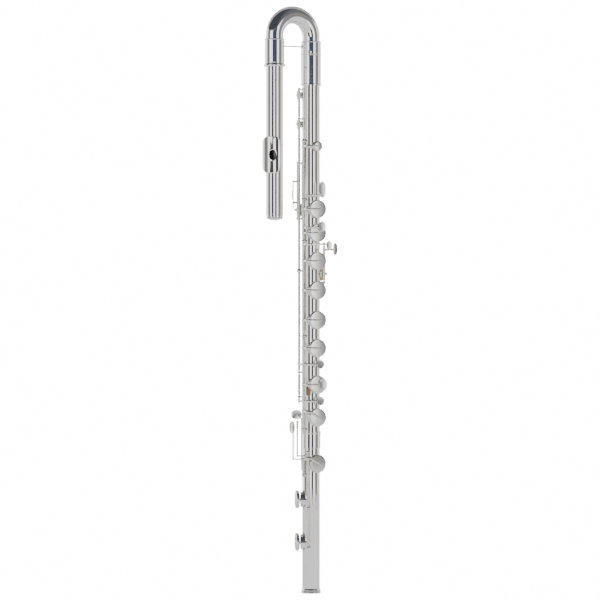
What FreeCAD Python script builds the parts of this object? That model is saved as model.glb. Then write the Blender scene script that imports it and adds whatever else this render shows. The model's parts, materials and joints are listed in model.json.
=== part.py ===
"""Bass flute in C with a curved head joint.

Frame: millimetres, +Z up along the axis of the foot and body tubes, origin at the centre of
the foot's open end.  The head joint comes down at x = -leg_spacing.  The big key cups face -Y.
An angle round the tube is measured from -Y towards -X, in degrees.
"""
import math
import os

import FreeCAD
import Part
import Sketcher
from FreeCAD import Placement, Rotation, Vector

doc = FreeCAD.newDocument("bass_flute")
sheet = doc.addObject("Spreadsheet::Sheet", "sizes")

# ---------------------------------------------------------------- driving dimensions
SIZES = {
    # tubes; every other radius is a step from the body tube's
    "tube_radius": 15.2,
    "tube_wall": 0.6,
    "bend_step": 0.2,
    "head_step": 0.5,
    "leg_spacing": 73.5,
    "slip_gap": 0.05,
    # foot joint
    "foot_length": 249.5,
    "foot_ring_rise": 2.1,
    "foot_ring_height": 8.5,
    "foot_socket_wall": 1.0,
    "foot_socket_lap": 3.0,
    "foot_socket_depth": 25.9,
    "joint_gap": 0.8,
    # body joint and its barrel
    "body_length": 619.7,
    "barrel_wall": 1.05,
    "barrel_lap": 7.0,
    "barrel_depth": 48.0,
    # head crook
    "tenon_wall": 0.9,
    "tenon_gap": 3.0,
    "tenon_lap": 9.0,
    "ferrule_gap": 1.0,
    "ferrule_length": 19.0,
    "bend_rise": 6.7,
    "bend_gap": 1.0,
    "head_socket_wall": 1.6,
    "head_socket_rise": 1.6,
    "head_socket_length": 47.1,
    "head_socket_ring_rise": 1.7,
    "head_socket_ring_height": 5.1,
    "brace_radius": 1.5,
    "brace_drop": 10.0,
    # head tube
    "head_gap": 3.0,
    "head_length": 282.2,
    "crown_step": 0.3,
    "crown_height": 10.8,
    "spigot_length": 9.0,
    "stopper_setback": 27.2,
    "stopper_length": 20.0,
    "stopper_screw_radius": 3.0,
    "embouchure_distance": 99.4,
    "embouchure_angle": 42.5,
    "embouchure_half_width": 6.2,
    "embouchure_half_height": 8.2,
    "riser_wall": 1.6,
    "lip_flare": 4.5,
    "lip_thickness": 0.8,
    "lip_standoff": 5.0,
    "lip_half_height": 30.7,
    # tone holes, cups and pads
    "large_hole_radius": 12.2,
    "g_sharp_hole_radius": 9.0,
    "thumb_hole_radius": 8.0,
    "small_hole_radius": 5.0,
    "chimney_wall": 0.5,
    "chimney_height": 3.0,
    "pad_gap": 0.15,
    "pad_thickness": 3.0,
    "pad_clearance": 0.1,
    "cup_overhang": 3.3,
    "cup_wall": 0.8,
    "cup_lip": 1.3,
    "cup_height": 4.5,
    "cup_bevel": 1.4,
    # hinges
    "hinge_radius": 2.3,
    "steel_radius": 1.1,
    "end_play": 0.1,
    "post_ball_radius": 2.9,
    "post_stem_radius": 1.5,
    "post_foot_radius": 2.2,
    "rib_height": 1.0,
    "rib_half_angle": 6.0,
    "arm_thickness": 2.0,
    "arm_width": 4.0,
    "leaf_thickness": 1.4,
    "stem_radius": 1.2,
    "roller_radius": 2.1,
    "roller_pin_radius": 0.8,
}


def fill_sheet():
    """Write every driving dimension into the sheet, name in column A and value in column B."""
    for row, (alias, number) in enumerate(SIZES.items(), start=1):
        sheet.set(f"A{row}", alias)
        sheet.set(f"B{row}", str(number))
        sheet.setAlias(f"B{row}", alias)
    doc.recompute()


fill_sheet()


def size(alias):
    """Value of one driving dimension, read back from the sheet."""
    return float(sheet.get(alias))


def value(expression):
    """Number that an expression on the sheet gives."""
    return float(sheet.evalExpression(str(expression)))


# ---------------------------------------------------------------- derived radii and heights
BEND_RADIUS = "(sizes.tube_radius - sizes.bend_step)"
HEAD_RADIUS = f"({BEND_RADIUS} - sizes.head_step)"
HEAD_BORE = f"({HEAD_RADIUS} - sizes.tube_wall)"
TENON_RADIUS = f"({BEND_RADIUS} + sizes.tenon_wall)"
BARREL_RADIUS = f"({TENON_RADIUS} + sizes.slip_gap + sizes.barrel_wall)"
HEAD_SOCKET_RADIUS = f"({BEND_RADIUS} + sizes.head_socket_wall)"

FOOT_TOP = "sizes.foot_length"
BODY_BOTTOM = "(sizes.foot_length + sizes.joint_gap)"
BODY_TOP = f"({BODY_BOTTOM} + sizes.body_length)"
BARREL_BOTTOM = f"({BODY_TOP} - sizes.barrel_lap)"
BARREL_TOP = f"({BODY_TOP} + sizes.barrel_depth)"
TENON_BOTTOM = f"({BODY_TOP} + sizes.tenon_gap)"
FERRULE_BOTTOM = f"({BARREL_TOP} + sizes.ferrule_gap)"
FERRULE_TOP = f"({FERRULE_BOTTOM} + sizes.ferrule_length)"
TENON_TOP = f"({FERRULE_BOTTOM} + sizes.tenon_lap)"
BEND_END = f"({TENON_TOP} + sizes.bend_gap)"
BEND_SPRING = f"({FERRULE_TOP} + sizes.bend_rise)"
HEAD_SOCKET_TOP = f"({FERRULE_TOP} + sizes.head_socket_rise)"
HEAD_SOCKET_BOTTOM = f"({HEAD_SOCKET_TOP} - sizes.head_socket_length)"
BRACE_HEIGHT = f"({FERRULE_TOP} - sizes.brace_drop)"
HEAD_TOP = f"({BEND_END} - sizes.head_gap)"
HEAD_BOTTOM = f"({HEAD_TOP} - sizes.head_length)"
EMBOUCHURE_HEIGHT = f"({HEAD_BOTTOM} + sizes.embouchure_distance)"
STOPPER_FACE = f"({EMBOUCHURE_HEIGHT} - sizes.stopper_setback)"


def polar(angle, distance, height=0.0):
    """Point at an angle round the tube, at a distance from its axis."""
    turn = math.radians(angle)
    return Vector(-math.sin(turn) * distance, -math.cos(turn) * distance, height)


def near(angle, clearance):
    """Point in plan at an angle round the tube, at a clearance from its surface."""
    return polar(angle, size("tube_radius") + clearance)


def cup_frame(angle, height):
    """Placement whose Z points out of the tube at an angle, and whose Y runs up the tube."""
    outward = polar(angle, 1.0)
    upward = Vector(0, 0, 1)
    return Placement(Vector(0, 0, height), Rotation(upward.cross(outward), upward, outward, "ZYX"))


class Rod:
    """A hinge line parallel to the tube: its angle round the tube and its clearance from it."""

    def __init__(self, angle, clearance):
        self.angle = angle
        self.distance = size("tube_radius") + clearance
        self.point = polar(angle, self.distance)


MAIN_ROD = Rod(70.0, 6.8)
TRILL_ROD = Rod(97.0, 7.3)
THUMB_ROD = Rod(118.0, 7.3)
G_SHARP_ROD = Rod(-48.0, 7.3)
FOOT_LONG_ROD = Rod(45.5, 8.8)
FOOT_SHORT_ROD = Rod(70.0, 6.8)

body_base = value(BODY_BOTTOM)
foot_top = value(FOOT_TOP)


def up_body(distance):
    """Height of a place on the body joint, given from the joint's lower end."""
    return body_base + distance


def down_foot(distance):
    """Height of a place on the foot joint, given down from the joint's upper end."""
    return foot_top - distance


class Hole:
    """A tone hole: its angle round the tube, its height and the cell that holds its radius."""

    def __init__(self, angle, height, kind="large"):
        self.angle = angle
        self.height = height
        self.radius = f"sizes.{kind}_hole_radius"
        self.cup = f"(sizes.{kind}_hole_radius + sizes.cup_overhang)"
        self.cup_radius = value(self.cup)


BODY_HOLES = {
    "d": Hole(0, up_body(49.1)),
    "e": Hole(0, up_body(104.7)),
    "f": Hole(0, up_body(166.5)),
    "f_sharp": Hole(0, up_body(214.0)),
    "g_lower": Hole(0, up_body(264.5)),
    "g_upper": Hole(0, up_body(314.3)),
    "a": Hole(0, up_body(361.9)),
    "b_flat": Hole(0, up_body(402.3)),
    "c": Hole(0, up_body(508.9), "small"),
    "g_sharp": Hole(-98, up_body(292.7), "g_sharp"),
    "thumb": Hole(168, up_body(401.7), "thumb"),
    "d_trill": Hole(124, up_body(546.7), "small"),
    "d_sharp_trill": Hole(124, up_body(596.3), "small"),
}
FOOT_HOLES = {
    "d_sharp": Hole(0, down_foot(28.5)),
    "c_sharp": Hole(121, down_foot(89.7)),
    "low_c": Hole(121, down_foot(162.0)),
}

finished = []


# ---------------------------------------------------------------- building blocks
def label(obj, node):
    """Name a finished sub-part; the label names its file."""
    obj.Label = node
    finished.append(obj)
    return obj


def cylinder(name, radius, height, place=None):
    """Part::Cylinder whose radius and height are expressions on the sheet."""
    obj = doc.addObject("Part::Cylinder", name)
    obj.setExpression("Radius", str(radius))
    obj.setExpression("Height", str(height))
    if place is not None:
        obj.Placement = place
    return obj


def at(x=0.0, y=0.0, z=0.0):
    """Unturned placement."""
    return Placement(Vector(x, y, z), Rotation())


def fuse(name, pieces):
    """Union of document objects."""
    if len(pieces) == 1:
        return pieces[0]
    obj = doc.addObject("Part::MultiFuse", name)
    obj.Shapes = pieces
    return obj


def cut(name, base, tool):
    """Base with the tool removed."""
    obj = doc.addObject("Part::Cut", name)
    obj.Base = base
    obj.Tool = tool
    return obj


def group(name, pieces):
    """Separate solids kept together in one sub-part."""
    obj = doc.addObject("Part::Compound", name)
    obj.Links = pieces
    return obj


def solid(name, shape):
    """Free-form solid given by its shape."""
    obj = doc.addObject("Part::Feature", name)
    obj.Shape = shape
    return obj


ON_AXIS = "0"
V_AXIS = -2


def turned(name, outline, x=0.0):
    """PartDesign body revolved about Z: outline is a closed list of (radius, height) expressions."""
    body = doc.addObject("PartDesign::Body", name)
    sketch = body.newObject("Sketcher::SketchObject", name + "_outline")
    plane = [f for f in body.Origin.OriginFeatures if f.Role == "XZ_Plane"][0]
    sketch.AttachmentSupport = [(plane, "")]
    sketch.MapMode = "FlatFace"
    evaluate = [(sheet.evalExpression(str(r)), sheet.evalExpression(str(z))) for r, z in outline]
    corners = [Vector(float(r), float(z), 0) for r, z in evaluate]
    count = len(corners)
    for index in range(count):
        sketch.addGeometry(Part.LineSegment(corners[index], corners[(index + 1) % count]))
    for index in range(count):
        sketch.addConstraint(Sketcher.Constraint("Coincident", index, 2, (index + 1) % count, 1))
    for index, (radius, height) in enumerate(outline):
        upward = sketch.addConstraint(
            Sketcher.Constraint("DistanceY", -1, 1, index, 1, corners[index].y))
        sketch.setExpression(f"Constraints[{upward}]", str(height))
        if radius == ON_AXIS:
            sketch.addConstraint(Sketcher.Constraint("PointOnObject", index, 1, V_AXIS))
            continue
        across = sketch.addConstraint(
            Sketcher.Constraint("DistanceX", -1, 1, index, 1, corners[index].x))
        sketch.setExpression(f"Constraints[{across}]", str(radius))
    revolution = body.newObject("PartDesign::Revolution", name + "_turned")
    revolution.Profile = sketch
    revolution.ReferenceAxis = (sketch, ["V_Axis"])
    revolution.Angle = 360.0
    body.Tip = revolution
    body.Placement = at(x)
    return body


def tube_outline(outer, inner, bottom, top):
    """Outline of a plain tube for turned()."""
    return [(inner, bottom), (outer, bottom), (outer, top), (inner, top)]


# ---------------------------------------------------------------- tubes with tone holes
def hole_cutter(name, hole):
    """Cylinder of a hole's own radius, from the tube axis outwards."""
    place = cup_frame(hole.angle, hole.height)
    return cylinder(name, hole.radius, "sizes.tube_radius * 2", place)


def holed_tube(node, bottom, top, holes):
    """Thin tube with an opening for each tone hole."""
    outer = cylinder(node + "_outside", "sizes.tube_radius", f"{top} - ({bottom})")
    inner = cylinder(node + "_inside", "sizes.tube_radius - sizes.tube_wall", f"{top} - ({bottom})")
    for piece in (outer, inner):
        piece.setExpression("Placement.Base.z", bottom)
    cutters = [hole_cutter(f"{node}_{key}_opening", hole) for key, hole in holes.items()]
    tools = fuse(node + "_cuts", [inner] + cutters)
    return label(cut(node + "_shape", outer, tools), node)


def chimneys(node, holes):
    """Short collars standing on the tube round each tone hole, one solid each."""
    collars = []
    for key, hole in holes.items():
        place = cup_frame(hole.angle, hole.height)
        name = f"{node}_{key}"
        seat = "sizes.tube_radius + sizes.chimney_height"
        outside = cylinder(name + "_outside", f"{hole.radius} + sizes.chimney_wall", seat, place)
        inside = cylinder(name + "_inside", hole.radius, seat + " + 1", place)
        tube = cylinder(name + "_tube", "sizes.tube_radius", 3 * hole.cup_radius,
                        at(z=hole.height - 1.5 * hole.cup_radius))
        collars.append(cut(name, outside, fuse(name + "_tools", [inside, tube])))
    return label(group(node + "_group", collars), node)


holed_tube("body_tube", BODY_BOTTOM, BODY_TOP, BODY_HOLES)
chimneys("body_tone_holes", BODY_HOLES)
holed_tube("foot_tube", "0", FOOT_TOP, FOOT_HOLES)
chimneys("foot_tone_holes", FOOT_HOLES)

# ---------------------------------------------------------------- sockets and rings
RING_RISE = 0.7
RING_WIDTH = 3.0

foot_socket_radius = "(sizes.tube_radius + sizes.foot_socket_wall)"
foot_socket_bottom = f"({FOOT_TOP} - sizes.foot_socket_lap)"
foot_socket_top = f"({FOOT_TOP} + sizes.foot_socket_depth)"
foot_socket_outline = [
    ("sizes.tube_radius", foot_socket_bottom),
    (foot_socket_radius, foot_socket_bottom),
    (foot_socket_radius, f"{foot_socket_top} - {RING_WIDTH}"),
    (f"{foot_socket_radius} + {RING_RISE}", f"{foot_socket_top} - {RING_WIDTH}"),
    (f"{foot_socket_radius} + {RING_RISE}", foot_socket_top),
    ("sizes.tube_radius + sizes.slip_gap", foot_socket_top),
    ("sizes.tube_radius + sizes.slip_gap", FOOT_TOP),
    ("sizes.tube_radius", FOOT_TOP),
]
label(turned("foot_socket_body", foot_socket_outline), "foot_socket")

foot_ring = "sizes.tube_radius + sizes.foot_ring_rise"
bead = f"{foot_ring} - 1.0"
foot_ring_outline = [
    ("sizes.tube_radius", "0"),
    (bead, "0"),
    (foot_ring, "1.0"),
    (foot_ring, "3.0"),
    (bead, "4.0"),
    (bead, "sizes.foot_ring_height - 1.5"),
    ("sizes.tube_radius + 0.3", "sizes.foot_ring_height"),
    ("sizes.tube_radius", "sizes.foot_ring_height"),
]
label(turned("foot_end_ring_body", foot_ring_outline), "foot_end_ring")

barrel_outline = [
    ("sizes.tube_radius", BARREL_BOTTOM),
    (f"{BARREL_RADIUS} + {RING_RISE}", BARREL_BOTTOM),
    (f"{BARREL_RADIUS} + {RING_RISE}", f"{BARREL_BOTTOM} + {RING_WIDTH}"),
    (BARREL_RADIUS, f"{BARREL_BOTTOM} + {RING_WIDTH}"),
    (BARREL_RADIUS, BARREL_TOP),
    (f"{TENON_RADIUS} + sizes.slip_gap", BARREL_TOP),
    (f"{TENON_RADIUS} + sizes.slip_gap", BODY_TOP),
    ("sizes.tube_radius", BODY_TOP),
]
label(turned("body_barrel_body", barrel_outline), "body_barrel")

# ---------------------------------------------------------------- curved head crook
label(turned("tuning_tenon_body", tube_outline(TENON_RADIUS, BEND_RADIUS, TENON_BOTTOM,
                                               TENON_TOP)), "tuning_tenon")

ferrule_outline = [
    (TENON_RADIUS, FERRULE_BOTTOM),
    (BARREL_RADIUS, FERRULE_BOTTOM),
    (BARREL_RADIUS, FERRULE_TOP),
    (BEND_RADIUS, FERRULE_TOP),
    (BEND_RADIUS, TENON_TOP),
    (TENON_RADIUS, TENON_TOP),
]
label(turned("tuning_ferrule_body", ferrule_outline), "tuning_ferrule")

head_x = -size("leg_spacing")
SOCKET_STEP = 1.5
head_slip = f"{HEAD_RADIUS} + sizes.slip_gap"
head_socket_step = f"{BEND_END} - {SOCKET_STEP}"
head_socket_ring = f"{HEAD_SOCKET_RADIUS} + sizes.head_socket_ring_rise"
head_socket_ring_top = f"{HEAD_SOCKET_BOTTOM} + sizes.head_socket_ring_height"
head_socket_outline = [
    (head_slip, HEAD_SOCKET_BOTTOM),
    (head_socket_ring, HEAD_SOCKET_BOTTOM),
    (head_socket_ring, head_socket_ring_top),
    (HEAD_SOCKET_RADIUS, head_socket_ring_top),
    (HEAD_SOCKET_RADIUS, HEAD_SOCKET_TOP),
    (BEND_RADIUS, HEAD_SOCKET_TOP),
    (BEND_RADIUS, head_socket_step),
    (head_slip, head_socket_step),
]
label(turned("head_socket_body", head_socket_outline, head_x), "head_socket")


def bend_solid(name, radius):
    """Solid of the U bend: half a torus on two straight legs."""
    arc = doc.addObject("Part::Torus", name + "_arc")
    arc.setExpression("Radius1", "sizes.leg_spacing / 2")
    arc.setExpression("Radius2", radius)
    arc.Angle3 = 180
    arc.Placement = Placement(Vector(head_x / 2, 0, value(BEND_SPRING)),
                              Rotation(Vector(1, 0, 0), 90))
    leg = f"{BEND_SPRING} - {BEND_END}"
    legs = [cylinder(f"{name}_leg_{side}", radius, leg, at(x, 0, value(BEND_END)))
            for side, x in (("body", 0.0), ("head", head_x))]
    return fuse(name, [arc] + legs)


def bend_half(node, bend, low_x):
    """Half of the bend on one side of the seam at its top."""
    side = doc.addObject("Part::Box", node + "_side")
    side.setExpression("Length", "sizes.leg_spacing / 2 + sizes.tube_radius * 2")
    side.setExpression("Width", "sizes.tube_radius * 4")
    side.setExpression("Height", "sizes.leg_spacing + sizes.tube_radius * 2")
    side.Placement = at(low_x, -2 * size("tube_radius"), value(BEND_END) - 1)
    half = doc.addObject("Part::Common", node + "_shape")
    half.Base = bend
    half.Tool = side
    return label(half, node)


bend = cut("u_bend_shape", bend_solid("bend_outside", BEND_RADIUS),
           bend_solid("bend_inside", f"{BEND_RADIUS} - sizes.tube_wall"))
bend_half("bend_body_half", bend, head_x / 2)
bend_half("bend_head_half", bend, head_x - 2 * size("tube_radius"))

brace_height = value(BRACE_HEIGHT)
brace_rod = cylinder("brace_rod", "sizes.brace_radius", "sizes.leg_spacing",
                     Placement(Vector(head_x, 0, brace_height), Rotation(Vector(0, 1, 0), 90)))
brace_ends = fuse("brace_ends", [
    cylinder("brace_end_body", BARREL_RADIUS, "sizes.brace_radius * 8",
             at(0, 0, brace_height - 4 * size("brace_radius"))),
    cylinder("brace_end_head", HEAD_SOCKET_RADIUS, "sizes.brace_radius * 8",
             at(head_x, 0, brace_height - 4 * size("brace_radius")))])
label(cut("brace_shape", brace_rod, brace_ends), "crook_brace")

# ---------------------------------------------------------------- head tube and lip plate
lip_height = value(EMBOUCHURE_HEIGHT)
lip_angle = size("embouchure_angle")
hole_frame = cup_frame(lip_angle, lip_height)
hole_frame.Base = hole_frame.Base + Vector(head_x, 0, 0)


def oval_prism(extra, start, depth):
    """Prism of the embouchure's oval, grown by extra, along the hole's own direction."""
    half_height = size("embouchure_half_height") + extra
    half_width = size("embouchure_half_width") + extra
    oval = Part.Ellipse(Vector(0, 0, 0), half_height, half_width).toShape()
    face = Part.Face(Part.Wire(oval))
    face.rotate(Vector(0, 0, 0), Vector(0, 0, 1), 90)
    face.translate(Vector(0, 0, start))
    prism = face.extrude(Vector(0, 0, depth))
    prism.Placement = hole_frame.multiply(prism.Placement)
    return prism


def upright(radius, low, high, centre):
    """Solid cylinder along Z between two heights."""
    return Part.makeCylinder(radius, high - low, Vector(centre.x, centre.y, low))


head_centre = Vector(head_x, 0, 0)
head_radius = value(HEAD_RADIUS)
reach = head_radius + size("lip_standoff")
lip_radius = reach + size("lip_flare")
lip_centre = head_centre - polar(lip_angle, size("lip_flare"))
lip_low = lip_height - size("lip_half_height")
lip_high = lip_height + size("lip_half_height")

head_outer = cylinder("head_outside", HEAD_RADIUS, "sizes.head_length",
                      at(head_x, 0, value(HEAD_BOTTOM)))
head_inner = cylinder("head_inside", HEAD_BORE, "sizes.head_length",
                      at(head_x, 0, value(HEAD_BOTTOM)))
head_opening = solid("head_opening", oval_prism(0, 0, reach + 5))
label(cut("head_tube_shape", head_outer, fuse("head_cuts", [head_inner, head_opening])),
      "head_tube")

riser = oval_prism(size("riser_wall"), 0, reach + 5)
riser = riser.common(upright(lip_radius, lip_low, lip_high, lip_centre))
riser = riser.cut(upright(head_radius, lip_low, lip_high, head_centre))
riser = riser.cut(oval_prism(0, 0, reach + 5))
label(solid("riser_shape", riser), "embouchure_riser")

CHIN_SIDE = 19.5
FAR_SIDE = 12.5


def lip_outline():
    """Rounded panel in the hole's frame, longer on the chin side than on the far side."""
    half = size("lip_half_height")
    panel = Part.makeBox(CHIN_SIDE + FAR_SIDE, 2 * half, 30, Vector(-CHIN_SIDE, -half, 5))
    upright_edges = [e for e in panel.Edges if abs(e.tangentAt(e.FirstParameter).z) > 0.9]
    panel = panel.makeFillet(10.0, upright_edges)
    panel.Placement = hole_frame.multiply(panel.Placement)
    return panel


lip = upright(lip_radius + size("lip_thickness"), lip_low - 5, lip_high + 5, lip_centre)
lip = lip.cut(upright(lip_radius, lip_low - 5, lip_high + 5, lip_centre))
lip = lip.common(lip_outline()).cut(oval_prism(0, 0, reach + 10))
label(solid("lip_plate_shape", lip), "lip_plate")

crown_bore = "sizes.stopper_screw_radius + sizes.slip_gap"
crown_floor = f"({HEAD_BOTTOM} - sizes.crown_height + 2.5)"
spigot = f"({HEAD_BORE} - sizes.slip_gap)"
crown_radius = f"({HEAD_RADIUS} - sizes.crown_step)"
crown_rim = f"{HEAD_BOTTOM} - 0.3"
crown_outline = [
    (ON_AXIS, f"{HEAD_BOTTOM} - sizes.crown_height"),
    (f"{crown_radius} * 0.55", f"{HEAD_BOTTOM} - sizes.crown_height"),
    (f"{crown_radius} * 0.85", f"{HEAD_BOTTOM} - sizes.crown_height + 1.5"),
    (crown_radius, f"{HEAD_BOTTOM} - sizes.crown_height + 4.5"),
    (crown_radius, crown_rim),
    (spigot, crown_rim),
    (spigot, f"{HEAD_BOTTOM} + sizes.spigot_length"),
    (crown_bore, f"{HEAD_BOTTOM} + sizes.spigot_length"),
    (crown_bore, crown_floor),
    (ON_AXIS, crown_floor),
]
label(turned("crown_body", crown_outline, head_x), "crown")

SCREW_CLEARANCE = 1.5
PLATE = 1.5
screw_bottom = f"{crown_floor} + {SCREW_CLEARANCE}"
cork_bottom = f"({STOPPER_FACE} - sizes.stopper_length)"
stopper_outline = [
    (ON_AXIS, screw_bottom),
    ("sizes.stopper_screw_radius", screw_bottom),
    ("sizes.stopper_screw_radius", f"{cork_bottom} - {PLATE}"),
    (f"{spigot} - 0.3", f"{cork_bottom} - {PLATE}"),
    (f"{spigot} - 0.3", cork_bottom),
    ("sizes.stopper_screw_radius", cork_bottom),
    ("sizes.stopper_screw_radius", f"{STOPPER_FACE} - {PLATE}"),
    (f"{spigot} - 0.3", f"{STOPPER_FACE} - {PLATE}"),
    (f"{spigot} - 0.3", STOPPER_FACE),
    (ON_AXIS, STOPPER_FACE),
]
label(turned("stopper_screw_body", stopper_outline, head_x), "stopper_screw")
label(turned("stopper_cork_body", tube_outline(
    spigot, "sizes.stopper_screw_radius", cork_bottom, f"{STOPPER_FACE} - {PLATE}"), head_x),
    "stopper_cork")

# ---------------------------------------------------------------- ribs, posts and steels
RING_HOLE = size("hinge_radius") + size("slip_gap")
PIN_HOLE = size("steel_radius") + size("slip_gap")


def rib(name, rod, low, high):
    """Strip soldered along the tube under a row of posts."""
    half = size("rib_half_angle")
    start = math.degrees(math.atan2(-math.cos(math.radians(rod.angle + half)),
                                    -math.sin(math.radians(rod.angle + half))))
    outside = cylinder(name + "_outside", "sizes.tube_radius + sizes.rib_height", high - low,
                       Placement(Vector(0, 0, low), Rotation(Vector(0, 0, 1), start)))
    outside.setExpression("Angle", "2 * sizes.rib_half_angle")
    return cut(name, outside, cylinder(name + "_tube", "sizes.tube_radius", high - low, at(z=low)))


def post(name, rod, height, on_rib, hole=PIN_HOLE):
    """Ball-topped post on its foot, bored for the steel or for the hinge tube it carries."""
    place = cup_frame(rod.angle, height)
    stem = cylinder(name + "_stem", "sizes.post_stem_radius", rod.distance, place)
    foot = cylinder(name + "_foot", "sizes.post_foot_radius",
                    "sizes.tube_radius + sizes.rib_height * 2", place)
    ball = doc.addObject("Part::Sphere", name + "_ball")
    ball.setExpression("Radius", f"sizes.post_ball_radius + {hole - PIN_HOLE}")
    ball.Placement = Placement(Vector(rod.point.x, rod.point.y, height), Rotation())
    seat = size("tube_radius") + (size("rib_height") if on_rib else 0.0)
    tube = cylinder(name + "_tube", seat, 12, at(z=height - 6))
    bore = cylinder(name + "_bore", hole, 12, at(rod.point.x, rod.point.y, height - 6))
    return cut(name, fuse(name + "_solid", [stem, foot, ball]), fuse(name + "_tools", [tube, bore]))


def steel(name, rod, low, high):
    """Pivot steel of a hinge line."""
    piece = cylinder(name, "sizes.steel_radius", high - low, at(rod.point.x, rod.point.y, low))
    return piece


def heights_up(*distances):
    """Heights of a row of places on the body joint."""
    return [up_body(distance) for distance in distances]


def heights_down(*distances):
    """Heights of a row of places on the foot joint."""
    return [down_foot(distance) for distance in distances]


MAIN_POSTS = heights_up(28.7, 186.7, 348.2, 418.7, 518.2)
TRILL_POSTS = heights_up(83.7, 125.4, 555.7, 605.7)
TRILL_RING_POST = up_body(297.7)
THUMB_POSTS = heights_up(386.7, 480.7)
G_SHARP_POSTS = heights_up(278.2, 343.2)
FOOT_LONG_POSTS = heights_down(171.0, 103.5, 9.0)
FOOT_SHORT_POSTS = heights_down(48.0, 21.0)
RIB_END = size("post_foot_radius") + 1.3
STEEL_END = size("post_ball_radius") + 0.5
CLEAR_OF_POST = size("post_ball_radius") + size("end_play")

body_posts = []
for row, rod, heights in (("main", MAIN_ROD, MAIN_POSTS), ("trill", TRILL_ROD, TRILL_POSTS),
                          ("thumb", THUMB_ROD, THUMB_POSTS)):
    for number, height in enumerate(heights):
        body_posts.append(post(f"{row}_post_{number}", rod, height, True))
body_posts.append(post("trill_ring_post", TRILL_ROD, TRILL_RING_POST, True, RING_HOLE))
for number, height in enumerate(G_SHARP_POSTS):
    body_posts.append(post(f"g_sharp_post_{number}", G_SHARP_ROD, height, False))
label(group("body_posts_group", body_posts), "body_posts")

ribs = []
for row, rod, heights in (("main", MAIN_ROD, MAIN_POSTS), ("trill", TRILL_ROD, TRILL_POSTS),
                          ("thumb", THUMB_ROD, THUMB_POSTS)):
    ribs.append(rib(row + "_rib", rod, min(heights) - RIB_END, max(heights) + RIB_END))
label(group("body_ribs_group", ribs), "body_ribs")

steels = [steel("main_steel", MAIN_ROD, MAIN_POSTS[0] - STEEL_END, MAIN_POSTS[-1] + STEEL_END),
          steel("thumb_steel", THUMB_ROD, THUMB_POSTS[0] - STEEL_END,
                THUMB_POSTS[-1] + STEEL_END),
          steel("g_sharp_steel", G_SHARP_ROD, G_SHARP_POSTS[0] - STEEL_END,
                G_SHARP_POSTS[-1] + STEEL_END)]
label(group("body_steels_group", steels), "body_steels")

foot_posts = []
for row, rod, heights in (("foot_long", FOOT_LONG_ROD, FOOT_LONG_POSTS),
                          ("foot_short", FOOT_SHORT_ROD, FOOT_SHORT_POSTS)):
    for number, height in enumerate(heights):
        foot_posts.append(post(f"{row}_post_{number}", rod, height, False))
label(group("foot_posts_group", foot_posts), "foot_posts")
label(steel("foot_steel_rod", FOOT_SHORT_ROD, FOOT_SHORT_POSTS[0] - STEEL_END,
            FOOT_SHORT_POSTS[-1] + STEEL_END), "foot_steel")


# ---------------------------------------------------------------- parts of a key
def cup_levels(hole):
    """Distances from the tube axis of a closed cup's pad face, rim and top."""
    seat = size("tube_radius") + size("chimney_height")
    pad_face = seat + size("pad_gap")
    rim = pad_face + size("cup_lip")
    return pad_face, rim, rim + size("cup_height")


def cup(name, hole):
    """Closed cup with a bevelled top and a recess for its pad."""
    pad_face, rim, top = cup_levels(hole)
    place = cup_frame(hole.angle, hole.height)
    wall = cylinder(name + "_wall", hole.cup, "sizes.cup_height - sizes.cup_bevel",
                    place.multiply(at(z=rim)))
    bevel = doc.addObject("Part::Cone", name + "_bevel")
    bevel.setExpression("Radius1", hole.cup)
    bevel.setExpression("Radius2", f"{hole.cup} - 2 * sizes.cup_bevel")
    bevel.setExpression("Height", "sizes.cup_bevel")
    bevel.Placement = place.multiply(at(z=top - size("cup_bevel")))
    return [wall, bevel]


def pad_recess(name, hole):
    """Space inside a cup that its pad fills."""
    pad_face, rim, top = cup_levels(hole)
    place = cup_frame(hole.angle, hole.height).multiply(at(z=pad_face - 1))
    return cylinder(name, f"{hole.cup} - sizes.cup_wall", "sizes.pad_thickness + 1", place)


def pad(name, hole):
    """Pad disc of a closed key."""
    pad_face, rim, top = cup_levels(hole)
    place = cup_frame(hole.angle, hole.height).multiply(at(z=pad_face))
    return cylinder(name, f"{hole.cup} - sizes.cup_wall - sizes.pad_clearance",
                    "sizes.pad_thickness", place)


def strip_outline(points, half):
    """Closed outline of a strip of constant width along a polyline, with mitred corners."""
    left, right = [], []
    last = len(points) - 1
    for index, point in enumerate(points):
        before = points[max(index - 1, 0)]
        after = points[min(index + 1, last)]
        first = (point - before) if index else (after - point)
        second = (after - point) if index < last else (point - before)
        first.normalize()
        second.normalize()
        mean = first + second
        mean.normalize()
        normal = Vector(-mean.y, mean.x, 0)
        mitre = half / max(0.3, normal.dot(Vector(-first.y, first.x, 0)))
        left.append(point + normal * mitre)
        right.append(point - normal * mitre)
    return left + right[::-1]


def strap(name, points, height, width=None, thickness=None):
    """Flat arm: a polyline in a level plane given thickness, standing width high."""
    width = width or size("arm_width")
    thickness = thickness or size("arm_thickness")
    outline = strip_outline(points, thickness / 2)
    face = Part.Face(Part.makePolygon(outline + outline[:1]))
    face.translate(Vector(0, 0, height - width / 2))
    return solid(name, face.extrude(Vector(0, 0, width)))


def side_points(angle, pairs, mirror=1.0):
    """Points given across (towards larger angles) and outwards from a direction."""
    turn = math.radians(angle)
    across = Vector(-math.cos(turn), math.sin(turn), 0)
    outward = polar(angle, 1.0)
    return [across * (u * mirror) + outward * v for u, v in pairs]


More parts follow.
